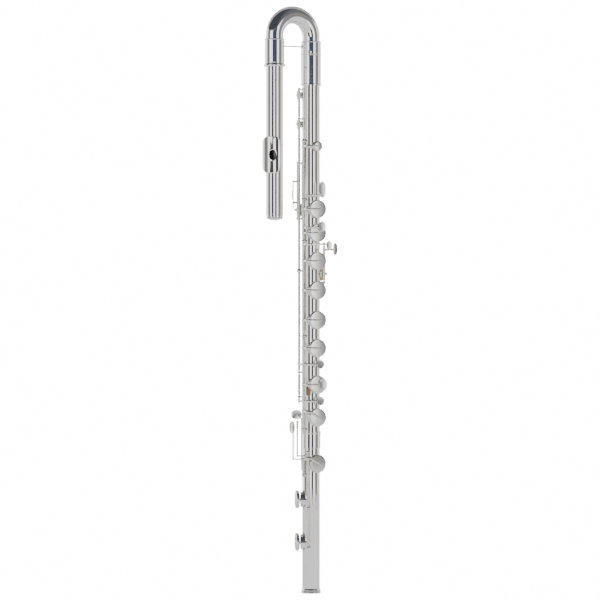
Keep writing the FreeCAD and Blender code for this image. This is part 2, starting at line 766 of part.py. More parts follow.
def cup_arm(name, rod, hole):
    """Arm from the hinge line round the edge of a cup and across its top."""
    top = cup_levels(hole)[2]
    turn = math.radians(rod.angle - hole.angle)
    across = abs(rod.distance * math.sin(turn))
    outward = rod.distance * math.cos(turn)
    lift = size("arm_thickness") / 2 - 0.5
    pairs = [(across, outward), (max(across, hole.cup_radius + 3.0), top - 2.5),
             (hole.cup_radius - 1.0, top + lift), (-0.35 * hole.cup_radius, top + lift)]
    mirror = 1.0 if turn > 0 else -1.0
    return strap(name, side_points(hole.angle, pairs, mirror), hole.height)


def leaf(name, centre, height, facing, half_width, half_height):
    """Oval finger plate facing outwards at an angle."""
    long_half = max(half_width, half_height)
    short_half = min(half_width, half_height)
    if long_half == short_half:
        outline = Part.Circle(Vector(0, 0, 0), Vector(0, 0, 1), long_half)
    else:
        outline = Part.Ellipse(Vector(0, 0, 0), long_half, short_half)
    plate = Part.Face(Part.Wire(outline.toShape())).extrude(Vector(0, 0, size("leaf_thickness")))
    upright_turn = 90 if half_height > half_width else 0
    plate.rotate(Vector(0, 0, 0), Vector(0, 0, 1), upright_turn)
    frame = cup_frame(facing, height)
    frame.Base = Vector(centre.x, centre.y, height)
    plate.Placement = frame.multiply(plate.Placement)
    return solid(name, plate)


def stem(name, point, low, high):
    """Upright rod of a touch lever."""
    return cylinder(name, "sizes.stem_radius", high - low, at(point.x, point.y, low))


def hinge(name, rod, low, high):
    """Hinge tube between two heights, less its end play."""
    play = size("end_play")
    return cylinder(name, "sizes.hinge_radius", high - low - 2 * play,
                    at(rod.point.x, rod.point.y, low + play))


def hinge_bore(name, rod, low, high):
    """Bore of a hinge tube, a running fit on its steel."""
    return cylinder(name, PIN_HOLE, high - low, at(rod.point.x, rod.point.y, low))


def opening_turn(rod, hole):
    """+1 or -1: the sense about +Z that lifts a cup off its hole."""
    lever = polar(hole.angle, size("tube_radius") + 7) - rod.point
    moved = Vector(-lever.y, lever.x, 0)
    return 1.0 if moved.dot(polar(hole.angle, 1.0)) > 0 else -1.0


def swing(obj, rod, degrees):
    """Turn a finished piece about its hinge line."""
    turn = Rotation(Vector(0, 0, 1), degrees)
    moved = Placement(rod.point - turn.multVec(rod.point), turn)
    obj.Placement = moved.multiply(obj.Placement)


def key(node, rod, span, holes, extras, lift):
    """One key: hinge tube, cups, arms and touches in one solid, with a node of its own for pads.

    span is the hinge tube's low and high end, or None for a key pinned to its own long steel.
    """
    pieces = []
    recesses = []
    pads = []
    if span:
        pieces.append(hinge(node + "_hinge", rod, *span))
    for number, hole in enumerate(holes):
        name = f"{node}_cup_{number}"
        pieces += cup(name, hole)
        pieces.append(cup_arm(name + "_arm", rod, hole))
        recesses.append(pad_recess(name + "_recess", hole))
        pads.append(pad(name + "_pad", hole))
    pieces += extras
    tools = list(recesses)
    if span:
        tools.append(hinge_bore(node + "_bore", rod, *span))
    shape = cut(node + "_shape", fuse(node + "_solid", pieces), fuse(node + "_tools", tools))
    label(shape, node)
    moved = [shape]
    if pads:
        moved.append(label(group(node + "_pads", pads), node.replace("_key", "_pad")))
    if lift:
        for obj in moved:
            swing(obj, rod, lift * opening_turn(rod, holes[0]))
    return moved


def touch(name, rod, route, height, width=None):
    """Arm from the hinge line along a route of points in plan."""
    return strap(name, [rod.point] + route, height, width)


def sleeve(name, rod, low, high):
    """Boss that fixes an arm to a long steel."""
    return cylinder(name, "sizes.hinge_radius", high - low, at(rod.point.x, rod.point.y, low))


def above(post_height):
    """Lowest place for a hinge tube over a post."""
    return post_height + CLEAR_OF_POST


def below(post_height):
    """Highest place for a hinge tube under a post."""
    return post_height - CLEAR_OF_POST


# ---------------------------------------------------------------- the keys
OPEN_LIFT = 6.5
D_E_SPLIT = up_body(79.7)
E_F_SPLIT = up_body(134.7)
F_SHARP_G_SPLIT = up_body(236.7)
A_B_FLAT_SPLIT = up_body(380.7)
THUMB_SPLIT = up_body(439.7)

OVER_CUPS = [near(44.6, 14.3), near(30.7, 14.2)]
CUP_TOP_TOUCH = near(-13.0, 11.2)
ROUND_HINGES = [near(77.3, 12.0), near(51.3, 16.8), near(33.2, 15.9)]
TRILL_TOUCH = near(-4.0, 10.8)

key("d_key", MAIN_ROD, (above(MAIN_POSTS[0]), D_E_SPLIT), [BODY_HOLES["d"]], [], OPEN_LIFT)
key("e_key", MAIN_ROD, (D_E_SPLIT, E_F_SPLIT), [BODY_HOLES["e"]],
    [leaf("e_touch", near(-16.8, 11.1), BODY_HOLES["e"].height, 0, 7.7, 10.2)], OPEN_LIFT)
key("f_key", MAIN_ROD, (E_F_SPLIT, below(MAIN_POSTS[1])), [BODY_HOLES["f"]], [], OPEN_LIFT)
key("f_sharp_key", MAIN_ROD, (above(MAIN_POSTS[1]), F_SHARP_G_SPLIT), [BODY_HOLES["f_sharp"]], [],
    OPEN_LIFT)
key("g_key", MAIN_ROD, (F_SHARP_G_SPLIT, below(MAIN_POSTS[2])),
    [BODY_HOLES["g_lower"], BODY_HOLES["g_upper"]],
    [touch("g_touch_arm", MAIN_ROD, OVER_CUPS + [near(-6.3, 12.0), near(-29.5, 19.3)],
           up_body(342.7), 3.6),
     leaf("g_touch", near(-29.5, 19.3), up_body(340.7), -20, 5.5, 7.6)], OPEN_LIFT)
key("a_key", MAIN_ROD, (above(MAIN_POSTS[2]), A_B_FLAT_SPLIT), [BODY_HOLES["a"]],
    [touch("a_touch_arm", MAIN_ROD, OVER_CUPS + [CUP_TOP_TOUCH], up_body(370.7)),
     leaf("a_touch", CUP_TOP_TOUCH, up_body(372.7), 0, 6.6, 8.8)], OPEN_LIFT)
key("b_flat_key", MAIN_ROD, (A_B_FLAT_SPLIT, below(MAIN_POSTS[3])), [BODY_HOLES["b_flat"]], [],
    OPEN_LIFT)
key("c_key", MAIN_ROD, (above(MAIN_POSTS[3]), below(MAIN_POSTS[4])), [BODY_HOLES["c"]],
    [touch("c_touch_arm", MAIN_ROD, OVER_CUPS + [CUP_TOP_TOUCH], up_body(425.2)),
     leaf("c_touch", CUP_TOP_TOUCH, up_body(435.2), 0, 6.6, 14.0)], OPEN_LIFT)
key("g_sharp_key", G_SHARP_ROD, (above(G_SHARP_POSTS[0]), below(G_SHARP_POSTS[1])),
    [BODY_HOLES["g_sharp"]],
    [touch("g_sharp_touch_arm", G_SHARP_ROD, [near(-45.0, 18.7), near(-39.3, 27.4)],
           up_body(333.7)),
     leaf("g_sharp_touch", near(-39.3, 27.4), up_body(334.7), -50, 3.6, 10.6)], 0.0)
key("thumb_b_key", THUMB_ROD, (above(THUMB_POSTS[0]), THUMB_SPLIT), [BODY_HOLES["thumb"]],
    [touch("thumb_b_arm", THUMB_ROD, [near(122.2, 12.0), near(126.5, 15.9)], up_body(413.7)),
     leaf("thumb_b_touch", near(126.0, 13.8), up_body(413.7), 126, 5.5, 10.5)], OPEN_LIFT)

thumb_lever_end = near(108.4, 16.4)
lever_touch = up_body(426.7)
lever_pieces = [
    hinge("thumb_b_flat_hinge", THUMB_ROD, THUMB_SPLIT, below(THUMB_POSTS[1])),
    touch("thumb_b_flat_arm", THUMB_ROD, [near(113.0, 12.5), thumb_lever_end], up_body(449.7)),
    stem("thumb_b_flat_stem", thumb_lever_end, lever_touch - 1, up_body(450.7)),
    leaf("thumb_b_flat_touch", thumb_lever_end, lever_touch, 110, 3.8, 8.0)]
label(cut("thumb_b_flat_lever_shape", fuse("thumb_b_flat_solid", lever_pieces),
          hinge_bore("thumb_b_flat_bore", THUMB_ROD, THUMB_SPLIT, below(THUMB_POSTS[1]))),
      "thumb_b_flat_lever")

SLEEVE_HALF = 3.0
d_sharp_trill_cup = BODY_HOLES["d_sharp_trill"].height
d_trill_touch = up_body(139.2)
d_sharp_trill_touch = up_body(77.1)
key("d_trill_key", TRILL_ROD, (above(TRILL_POSTS[1]), below(TRILL_POSTS[2])),
    [BODY_HOLES["d_trill"]],
    [touch("d_trill_arm", TRILL_ROD, ROUND_HINGES + [TRILL_TOUCH], d_trill_touch),
     leaf("d_trill_touch", TRILL_TOUCH, d_trill_touch, 0, 7.6, 7.6)], 0.0)
key("d_sharp_trill_key", TRILL_ROD, None, [BODY_HOLES["d_sharp_trill"]],
    [steel("d_sharp_trill_steel", TRILL_ROD, d_sharp_trill_touch - 5, TRILL_POSTS[-1] + STEEL_END),
     sleeve("d_sharp_trill_low_sleeve", TRILL_ROD, d_sharp_trill_touch - SLEEVE_HALF,
            d_sharp_trill_touch + SLEEVE_HALF),
     sleeve("d_sharp_trill_high_sleeve", TRILL_ROD, d_sharp_trill_cup - SLEEVE_HALF,
            d_sharp_trill_cup + SLEEVE_HALF),
     touch("d_sharp_trill_arm", TRILL_ROD, ROUND_HINGES + [TRILL_TOUCH], d_sharp_trill_touch),
     leaf("d_sharp_trill_touch", TRILL_TOUCH, d_sharp_trill_touch, 0, 7.6, 7.6)], 0.0)

FOOT_SWEEP = [near(60.0, 14.8), near(80.8, 16.2)]
d_sharp_stem = near(88.5, 4.3)
d_sharp_leaf = near(103.1, 10.9)
d_sharp_arm = down_foot(37.5)
d_sharp_neck = down_foot(-52.5)
key("foot_d_sharp_key", FOOT_SHORT_ROD, (above(FOOT_SHORT_POSTS[0]), below(FOOT_SHORT_POSTS[1])),
    [FOOT_HOLES["d_sharp"]],
    [touch("foot_d_sharp_arm", FOOT_SHORT_ROD, [near(78.8, 5.4), d_sharp_stem], d_sharp_arm),
     stem("foot_d_sharp_stem", d_sharp_stem, d_sharp_arm - 2, d_sharp_neck + 2),
     strap("foot_d_sharp_neck", [d_sharp_stem, d_sharp_leaf], d_sharp_neck, 4.4),
     leaf("foot_d_sharp_touch", d_sharp_leaf, d_sharp_neck + 2, 45, 9.3, 8.0)], 0.0)

c_sharp_stem = near(95.1, 18.4)
c_sharp_top = below(FOOT_LONG_POSTS[2]) - 6.0
c_sharp_arm = c_sharp_top - 2.5
c_sharp_leaf = down_foot(-33.5)
key("c_sharp_key", FOOT_LONG_ROD, (above(FOOT_LONG_POSTS[1]), c_sharp_top),
    [FOOT_HOLES["c_sharp"]],
    [touch("c_sharp_arm", FOOT_LONG_ROD, FOOT_SWEEP + [c_sharp_stem], c_sharp_arm, 3.2),
     stem("c_sharp_stem", c_sharp_stem, c_sharp_arm - 1, c_sharp_leaf + 1),
     leaf("c_sharp_touch", near(97.4, 19.1), c_sharp_leaf, 65, 5.3, 10.5)], OPEN_LIFT)

low_c_stem = near(87.9, 12.3)
low_c_arm = c_sharp_top + 3.1
low_c_cup = FOOT_HOLES["low_c"].height
roller_low = down_foot(-29.7)
roller_high = down_foot(-43.7)
ROLLER_GAP = 0.3
PIN_ROOT = 0.5
key("low_c_key", FOOT_LONG_ROD, None, [FOOT_HOLES["low_c"]],
    [steel("low_c_steel", FOOT_LONG_ROD, FOOT_LONG_POSTS[0] - STEEL_END,
           FOOT_LONG_POSTS[2] + STEEL_END),
     sleeve("low_c_low_sleeve", FOOT_LONG_ROD, above(FOOT_LONG_POSTS[0]) + 0.5, low_c_cup + 13.0),
     sleeve("low_c_high_sleeve", FOOT_LONG_ROD, c_sharp_top + 0.8,
            below(FOOT_LONG_POSTS[2]) - 0.4),
     touch("low_c_arm", FOOT_LONG_ROD, [near(59.7, 12.6), near(75.7, 13.2), low_c_stem],
           low_c_arm, 3.2),
     stem("low_c_stem", low_c_stem, low_c_arm - 1, roller_low - ROLLER_GAP),
     cylinder("low_c_roller_pin", "sizes.roller_pin_radius",
              roller_high - roller_low + 3 * ROLLER_GAP + PIN_ROOT,
              at(low_c_stem.x, low_c_stem.y, roller_low - ROLLER_GAP - PIN_ROOT)),
     cylinder("low_c_pin_head", "sizes.roller_pin_radius * 1.6", 3 * ROLLER_GAP,
              at(low_c_stem.x, low_c_stem.y, roller_high + ROLLER_GAP))], OPEN_LIFT)

roller_bore = "sizes.roller_pin_radius + sizes.slip_gap"
roller_place = at(low_c_stem.x, low_c_stem.y, roller_low)
roller = cut("roller_shape",
             cylinder("roller_outside", "sizes.roller_radius", roller_high - roller_low,
                      roller_place),
             cylinder("roller_bore", roller_bore, roller_high - roller_low, roller_place))
label(roller, "low_c_roller")
swing(roller, FOOT_LONG_ROD, OPEN_LIFT * opening_turn(FOOT_LONG_ROD, FOOT_HOLES["low_c"]))

# ---------------------------------------------------------------- checks and files
doc.recompute()
for obj in doc.Objects:
    if "Invalid" in obj.State or "Error" in obj.State:
        raise RuntimeError(f"{obj.Name} failed: {obj.State}")

os.makedirs("parts", exist_ok=True)
for obj in finished:
    shape = obj.Shape
    if shape.isNull() or not shape.isValid() or not shape.Solids:
        raise RuntimeError(f"{obj.Label} has no valid solid")
    shape.exportStep(f"parts/{obj.Label}.step")
    print(f"{obj.Label}: {len(shape.Solids)} solids, {shape.Volume:.1f} mm3")
print(len(finished), "sub-parts")
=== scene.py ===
# %% [markdown]
# # A bass flute with a curved head
# The flute is almost nothing but turned and bent silver: thin tubes, cups, hinge tubes and
# posts. The CAD model is loaded first and fixes every size and every hinge line. Each
# visible piece is then drawn again as a smooth surface, because polished silver shows every
# facet of a coarse mesh.

# %% Load the frame
import json
import math

import bmesh
import bpy
import numpy as np
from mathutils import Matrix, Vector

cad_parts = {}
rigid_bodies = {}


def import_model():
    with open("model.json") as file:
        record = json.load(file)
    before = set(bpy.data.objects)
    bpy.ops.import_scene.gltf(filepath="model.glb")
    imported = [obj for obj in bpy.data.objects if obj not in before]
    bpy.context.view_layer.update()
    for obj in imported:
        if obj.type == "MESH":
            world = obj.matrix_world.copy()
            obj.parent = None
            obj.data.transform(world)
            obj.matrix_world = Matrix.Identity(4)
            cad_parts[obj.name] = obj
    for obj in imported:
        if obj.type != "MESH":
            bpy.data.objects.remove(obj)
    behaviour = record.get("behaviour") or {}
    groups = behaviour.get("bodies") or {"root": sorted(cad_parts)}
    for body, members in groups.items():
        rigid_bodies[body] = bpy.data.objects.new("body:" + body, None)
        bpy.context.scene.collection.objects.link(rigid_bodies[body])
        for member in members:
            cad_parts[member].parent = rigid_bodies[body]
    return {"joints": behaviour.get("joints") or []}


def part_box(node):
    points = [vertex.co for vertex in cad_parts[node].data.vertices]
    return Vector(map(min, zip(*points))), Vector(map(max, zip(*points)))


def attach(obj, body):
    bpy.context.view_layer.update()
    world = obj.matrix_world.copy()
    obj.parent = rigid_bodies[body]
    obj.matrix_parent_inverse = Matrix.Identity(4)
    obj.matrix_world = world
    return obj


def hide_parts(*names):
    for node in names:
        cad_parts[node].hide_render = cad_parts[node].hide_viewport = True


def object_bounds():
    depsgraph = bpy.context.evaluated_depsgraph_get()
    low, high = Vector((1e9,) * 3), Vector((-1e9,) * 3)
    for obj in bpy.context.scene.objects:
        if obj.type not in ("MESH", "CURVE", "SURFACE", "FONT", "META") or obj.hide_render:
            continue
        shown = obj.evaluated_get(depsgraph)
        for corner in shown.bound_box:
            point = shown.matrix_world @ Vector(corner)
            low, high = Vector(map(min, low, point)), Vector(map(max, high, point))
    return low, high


for leftover in list(bpy.data.objects):
    bpy.data.objects.remove(leftover)
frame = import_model()
cad_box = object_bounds()
joints = {joint["name"]: joint for joint in frame["joints"]}
MM = 0.001

# %% [markdown]
# ## Camera
# The flute stands upright and the camera looks level at its middle, from 33 degrees to the
# left of the side that the cups face. A camera close by would spread the two legs apart,
# because the head tube is nearer to it than the body tube is. So it stands 6 m away and
# looks through a long lens, whose length is worked out from the height that the frame has
# to take in.

# %% Camera
VIEW_AZIMUTH = -33.0
CAMERA_DISTANCE = 6.0
FRAME_HEIGHT = 1.020
AIM_HEIGHT = 0.4985
AXIS_FROM_CENTRE = 0.0187
LENS_SENSOR = 36.0

turn = math.radians(VIEW_AZIMUTH)
view_back = np.array([math.sin(turn), -math.cos(turn), 0.0])
view_right = np.array([math.cos(turn), math.sin(turn), 0.0])
aim = np.array([0.0, 0.0, AIM_HEIGHT]) - view_right * AXIS_FROM_CENTRE

camera_data = bpy.data.cameras.new("flute_camera")
camera_data.sensor_width = LENS_SENSOR
camera_data.lens = LENS_SENSOR * CAMERA_DISTANCE / FRAME_HEIGHT
camera = bpy.data.objects.new("flute_camera", camera_data)
bpy.context.scene.collection.objects.link(camera)
camera.location = aim + view_back * CAMERA_DISTANCE
camera.rotation_euler = (math.pi / 2, 0.0, turn)
bpy.context.scene.camera = camera
print("lens", round(camera_data.lens, 1))

# %% [markdown]
# ## Surfaces from grids
# Blender's own cylinders and modifiers could draw most of a flute, but their edges would
# have to be rounded one by one. Here every new piece is a grid of points worked out with
# numpy instead, so its formula stays in sight. `grid_faces` numbers the quads of a grid and
# `Parts` joins the grids of one piece. A direction that closes on itself wraps its last row
# or column round to the first, so no seam is left open.

# %% Mesh helpers
SMOOTH_LIMIT = math.radians(32)
WELD_DISTANCE = 1e-7


def new_piece(name, points, faces):
    """Mesh object from an (n, 3) array of points in metres and a list or array of faces."""
    mesh = bpy.data.meshes.new(name)
    mesh.from_pydata(np.asarray(points, float).tolist(), [], [list(map(int, f)) for f in faces])
    mesh.update()
    mesh.shade_smooth()
    mesh.set_sharp_from_angle(angle=SMOOTH_LIMIT)
    piece = bpy.data.objects.new(name, mesh)
    bpy.context.scene.collection.objects.link(piece)
    return piece


def grid_faces(rows, columns, wrap_rows, wrap_columns):
    """Quads of a grid whose point (i, j) has number i * columns + j."""
    i = np.arange(rows if wrap_rows else rows - 1)
    j = np.arange(columns if wrap_columns else columns - 1)
    i, j = np.meshgrid(i, j, indexing="ij")
    down = (i + 1) % rows
    across = (j + 1) % columns
    quads = np.stack([i * columns + j, i * columns + across,
                      down * columns + across, down * columns + j], axis=-1)
    return quads.reshape(-1, 4)


class Parts:
    """Collects the grids of one piece and joins them into one mesh."""

    def __init__(self):
        self.points = []
        self.faces = []
        self.count = 0

    def grid(self, points, wrap_rows=False, caps=False):
        """Add an array (rows, columns, 3); caps closes its first and last rows with a face."""
        rows, columns = points.shape[:2]
        faces = [list(face) for face in grid_faces(rows, columns, wrap_rows, True)]
        if caps:
            faces.append(list(range(columns))[::-1])
            faces.append([(rows - 1) * columns + j for j in range(columns)])
        self.faces += [[number + self.count for number in face] for face in faces]
        self.points.append(points.reshape(-1, 3))
        self.count += rows * columns
        return self

    def moved(self, place):
        """Every point put through a function of an (n, 3) array."""
        self.points = [place(points) for points in self.points]
        return self

    def piece(self, name):
        """The finished mesh object, with its faces turned outwards."""
        made = new_piece(name, np.concatenate(self.points), self.faces)
        turn_outwards(made)
        return made


def turn_outwards(piece):
    """Weld doubled points, drop unused ones and make every shell's normals point out of it."""
    work = bmesh.new()
    work.from_mesh(piece.data)
    bmesh.ops.remove_doubles(work, verts=work.verts, dist=WELD_DISTANCE)
    unused = [point for point in work.verts if not point.link_faces]
    bmesh.ops.delete(work, geom=unused, context="VERTS")
    bmesh.ops.recalc_face_normals(work, faces=work.faces)
    work.to_mesh(piece.data)
    work.free()
    piece.data.set_sharp_from_angle(angle=SMOOTH_LIMIT)


# %% [markdown]
# ## Turned shapes
# A turned piece is a profile of (radius, height) carried round an axis: the point at angle
# t is (r cos t, r sin t, h). Corners of a profile are replaced by short arcs, because a
# real edge on a polished tube is never sharp and its little arc is what catches the light.
# A profile that ends beside the axis is closed there by a tiny flat face, which is simpler
# than a pole of triangles.

# %% Turning
AROUND = 72
ON_AXIS = 0.02


def rounded(profile, radius, steps=4, closed=True):
    """Profile with each corner replaced by a small arc that is tangent to both of its sides."""
    corners = np.asarray(profile, float)
    count = len(corners)
    out = []
    for index in range(count):
        here = corners[index]
        if not closed and index in (0, count - 1):
            out.append(here)
            continue
        before = corners[index - 1] - here
        after = corners[(index + 1) % count] - here
        reach = min(radius, 0.45 * np.linalg.norm(before), 0.45 * np.linalg.norm(after))
        start = here + before / np.linalg.norm(before) * reach
        end = here + after / np.linalg.norm(after) * reach
        for part in np.linspace(0.0, 1.0, steps):
            out.append((1 - part) ** 2 * start + 2 * part * (1 - part) * here + part ** 2 * end)
    return np.array(out)


def held(profile, longest=1.6, reach=0.2):
    """Profile with two more points near the ends of each long side, which keep it looking flat."""
    out = [profile[0]]
    for before, after in zip(profile[:-1], profile[1:]):
        step = after - before
        length = np.linalg.norm(step)
        if length > longest:
            out += [before + step / length * reach, after - step / length * reach]
        out.append(after)
    return np.array(out)


def lathe_grid(profile, around=AROUND):
    """Grid of a profile of (radius, height) carried round the Z axis."""
    profile = held(np.asarray(profile, float))
    angle = np.linspace(0.0, 2 * math.pi, around, endpoint=False)
    radius = profile[:, 0][:, None]
    height = np.repeat(profile[:, 1][:, None], around, axis=1)
    return np.stack([radius * np.cos(angle), radius * np.sin(angle), height], axis=-1)


def closed_ring(profile, edge=0.15, around=AROUND):
    """Grid of a closed profile, such as the wall of a tube, with rounded corners."""
    return lathe_grid(rounded(profile, edge), around)


def wall(outer, inner, low, high):
    """Closed profile of a plain tube wall."""
    return [(inner, low), (outer, low), (outer, high), (inner, high)]


def shift(x, y):
    """Function that moves points sideways by distances in millimetres."""
    return lambda points: points + np.array([x, y, 0.0])


def to_metres(points):
    """Millimetres to metres."""
    return points * MM


def lathe(name, profile, centre=(0.0, 0.0), edge=0.15, around=AROUND):
    """Turned piece on an upright axis; a closed profile in millimetres."""
    parts = Parts().grid(closed_ring(profile, edge, around), wrap_rows=True)
    parts.moved(shift(*centre)).moved(to_metres)
    return parts.piece(name)


def box_mm(node):
    """Lowest and highest corner of a CAD node, in millimetres."""
    low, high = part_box(node)
    return np.array(low) / MM, np.array(high) / MM


def height_range(node):
    """Lowest and highest place of a CAD node, in millimetres."""
    low, high = box_mm(node)
    return low[2], high[2]


def half_width(node):
    """Radius of a turned CAD node, in millimetres."""
    low, high = box_mm(node)
    return (high[0] - low[0]) / 2


# %% [markdown]
# ## Shader expressions
# A material is a small formula. The class below wraps a shader socket, so that ordinary
# Python arithmetic adds the Math nodes, and `make` adds any other node in one line.

# %% Shader class
class Shade:
    """A socket of a node tree that can be used in arithmetic."""

    def __init__(self, tree, socket=None):
        self.tree = tree
        self.socket = socket

    def make(self, kind, settings=None, inputs=None, out=0):
        """Add a node: its settings are set first, then the values or links of its sockets."""
        made = self.tree.nodes.new(kind)
        for key, setting in (settings or {}).items():
            if key == "stops":
                while len(made.color_ramp.elements) < len(setting):
                    made.color_ramp.elements.new(1.0)
                for element, (position, colour) in zip(made.color_ramp.elements, setting):
                    element.position = position
                    element.color = (*colour, 1.0)
            else:
                setattr(made, key, setting)
        for key, given in (inputs or {}).items():
            if isinstance(given, Shade):
                self.tree.links.new(given.socket, made.inputs[key])
            else:
                made.inputs[key].default_value = given
        return Shade(self.tree, made.outputs[out] if len(made.outputs) else None)

    def maths(self, operation, *others):
        """Math node on this value and others."""
        return self.make("ShaderNodeMath", {"operation": operation},
                         dict(enumerate((self,) + others)))

    def __add__(self, other):
        return self.maths("ADD", other)

    def __sub__(self, other):
        return self.maths("SUBTRACT", other)

    def __mul__(self, other):
        return self.maths("MULTIPLY", other)

    def __rsub__(self, other):
        return self.make("ShaderNodeMath", {"operation": "SUBTRACT"}, {0: other, 1: self})

    __radd__ = __add__
    __rmul__ = __mul__

    def band(self, centre, half_width, blur):
        """1 within half_width of a centre, falling to 0 over the blur."""
        away = (self - centre).maths("ABSOLUTE")
        return self.make("ShaderNodeMapRange", {"interpolation_type": "SMOOTHSTEP"},
                         {"Value": away, "From Min": half_width, "From Max": half_width + blur,
                          "To Min": 1.0, "To Max": 0.0})

    def mix(self, first, second):
        """Colour between two others, with this value as the factor."""
        return self.make("ShaderNodeMix", {"data_type": "RGBA"},
                         {0: self, 6: first, 7: second}, out=2)


def rgba(colour):
    """Colour with full opacity."""
    return (*colour, 1.0)


# %% [markdown]
# ## The room that silver sees
# Silver has no colour of its own, so the room gives it its look. Lamps would only add
# spots; here the world itself is the studio, a white tent drawn by formula from the
# direction of each ray. The compass is 0 at the camera and counts degrees to its right.
# Beside the camera stand two dark strips, which each tube shows as two thin dark lines. A
# little higher they give way to one wide dark blue gap, which the bend and the barrels
# show. Grey panels at the sides and the back model the roundness, and over the camera the
# ceiling is dark, for the arch of the bend. The lens itself sees plain white, so the dark
# places are only ever seen as reflections.

# %% World values
WHITE = (1.0, 1.0, 1.0)
ROOM_BRIGHTNESS = 2.15
BACKDROP_BRIGHTNESS = 16.0
# Strips are centre and half width in degrees of the compass, and a blur in degrees.
LINES = ((-26.0, 11.5), (18.0, 9.5))
LINE_BLUR = 4.0
GAP = (3.0, 25.0)
GAP_BLUR = 2.5
SIDES = ((-78.0, 15.0, 9.0), (73.0, 17.0, 8.0))
BACK_EDGE = (95.0, 105.0)
# Edges in height, toward the camera or to the right are shares of the direction, from -1 to 1.
GAP_EDGE = (0.0715, 0.0755)
CEILING_EDGE = (0.28, 0.40)
OVER_CAMERA = (-0.30, -0.10)
CEILING_FADE = (0.1, 0.7)
# Colours of the openings, the grey panels and the ceiling.
GAP_COLOUR = (0.030, 0.038, 0.062)
LINE_COLOUR = (0.035, 0.035, 0.035)
GREY_SIDE = (0.13, 0.127, 0.12)
GREY_BACK = (0.62, 0.61, 0.59)
CEILING_COLOUR = (0.030, 0.033, 0.040)
CEILING_RIGHT = (0.075, 0.077, 0.082)
CEILING_BACK = (0.25, 0.25, 0.255)


def lens_sees_white(shade, kind, colour, brightness):
    """Light of one kind that is plain white to the lens and coloured in every reflection."""
    to_lens = shade.make("ShaderNodeLightPath")
    reflected = shade.make(kind, None, {"Color": colour, "Strength": brightness})
    plain_white = shade.make(kind, None, {"Color": rgba(WHITE), "Strength": BACKDROP_BRIGHTNESS})
    return shade.make("ShaderNodeMixShader", None, {0: to_lens, 1: reflected, 2: plain_white})


# %% World
world = bpy.data.worlds.new("white_tent")
bpy.context.scene.world = world
world.use_nodes = True
world.node_tree.nodes.clear()
room = Shade(world.node_tree)
direction = room.make("ShaderNodeTexCoord")


def along(axis):
    """Share of the direction that lies along an axis: their dot product."""
    return direction.make("ShaderNodeVectorMath", {"operation": "DOT_PRODUCT"},
                          {0: direction, 1: tuple(axis)}, out=1)


def ramp(value, low, high):
    """Smooth step from 0 at low to 1 at high."""
    return room.make("ShaderNodeMapRange", {"interpolation_type": "SMOOTHSTEP"},
                     {"Value": value, "From Min": low, "From Max": high})


toward_camera = along(view_back)
to_the_right = along(view_right)
compass = to_the_right.maths("ARCTAN2", toward_camera) * (180.0 / math.pi)
height_part = direction.make("ShaderNodeSeparateXYZ", None, {0: direction}, out=2)

upper = ramp(height_part, *GAP_EDGE)
above_room = ramp(height_part, *CEILING_EDGE)
ceiling = above_room * ramp(toward_camera, *OVER_CAMERA)
lines = compass.band(*LINES[0], LINE_BLUR) + compass.band(*LINES[1], LINE_BLUR)
wide_gap = compass.band(*GAP, GAP_BLUR)
sides = compass.band(*SIDES[0]) + compass.band(*SIDES[1])
back = ramp(compass, *BACK_EDGE)
tent = back.mix(rgba(WHITE), rgba(GREY_BACK))
tent = sides.mix(tent, rgba(GREY_SIDE))
room_colour = (lines * (1.0 - upper)).mix(tent, rgba(LINE_COLOUR))
room_colour = (wide_gap * upper).mix(room_colour, rgba(GAP_COLOUR))
dark_ceiling = ramp(to_the_right, *CEILING_FADE).mix(rgba(CEILING_COLOUR), rgba(CEILING_RIGHT))
room_colour = above_room.mix(room_colour, rgba(CEILING_BACK))
room_colour = ceiling.mix(room_colour, dark_ceiling)
backdrop = lens_sees_white(room, "ShaderNodeBackground", room_colour, ROOM_BRIGHTNESS)
room.make("ShaderNodeOutputWorld", None, {"Surface": backdrop})
print("world nodes", len(world.node_tree.nodes))

# %% [markdown]
# ## The floor
# The foot stands on a disc of pale paper. A lit diffuse floor would need its own lamps and
# show its edge. This one glows like the tent, so it joins the backdrop with no edge, and it
# is dimmer in the silver than to the lens, as paper under a standing object is.

# %% Floor
FLOOR_RADIUS = 3.0
FLOOR_GAP = 0.0006
FLOOR_SIDES = 96
FLOOR_BRIGHTNESS = 1.05
PALE_FLOOR = ((0.98, 0.965, 0.995), (1.0, 0.985, 1.0))


def new_material(name):
    """Empty material and a Shade to build it with."""
    material = bpy.data.materials.new(name)
    material.use_nodes = True
    material.node_tree.nodes.clear()
    return material, Shade(material.node_tree)


def finish_material(shade, surface):
    """Join a surface shader to the output."""
    shade.make("ShaderNodeOutputMaterial", None, {"Surface": surface})


floor_material, floor_shade = new_material("pale_floor")
grain = floor_shade.make("ShaderNodeTexCoord", out=3)
cloud = floor_shade.make("ShaderNodeTexNoise", None, {"Vector": grain, "Scale": 3.0})
floor_colour = cloud.mix(rgba(PALE_FLOOR[0]), rgba(PALE_FLOOR[1]))
finish_material(floor_shade, lens_sees_white(floor_shade, "ShaderNodeEmission", floor_colour,
                                             FLOOR_BRIGHTNESS))
ring_angle = np.linspace(0.0, 2 * math.pi, FLOOR_SIDES, endpoint=False)
floor_points = np.stack([FLOOR_RADIUS * np.cos(ring_angle), FLOOR_RADIUS * np.sin(ring_angle),
                         np.full(FLOOR_SIDES, cad_box[0][2] - FLOOR_GAP)], axis=-1)
floor = new_piece("floor", floor_points, [list(range(FLOOR_SIDES))])
floor.data.materials.append(floor_material)
print("floor at", round(cad_box[0][2] - FLOOR_GAP, 4))

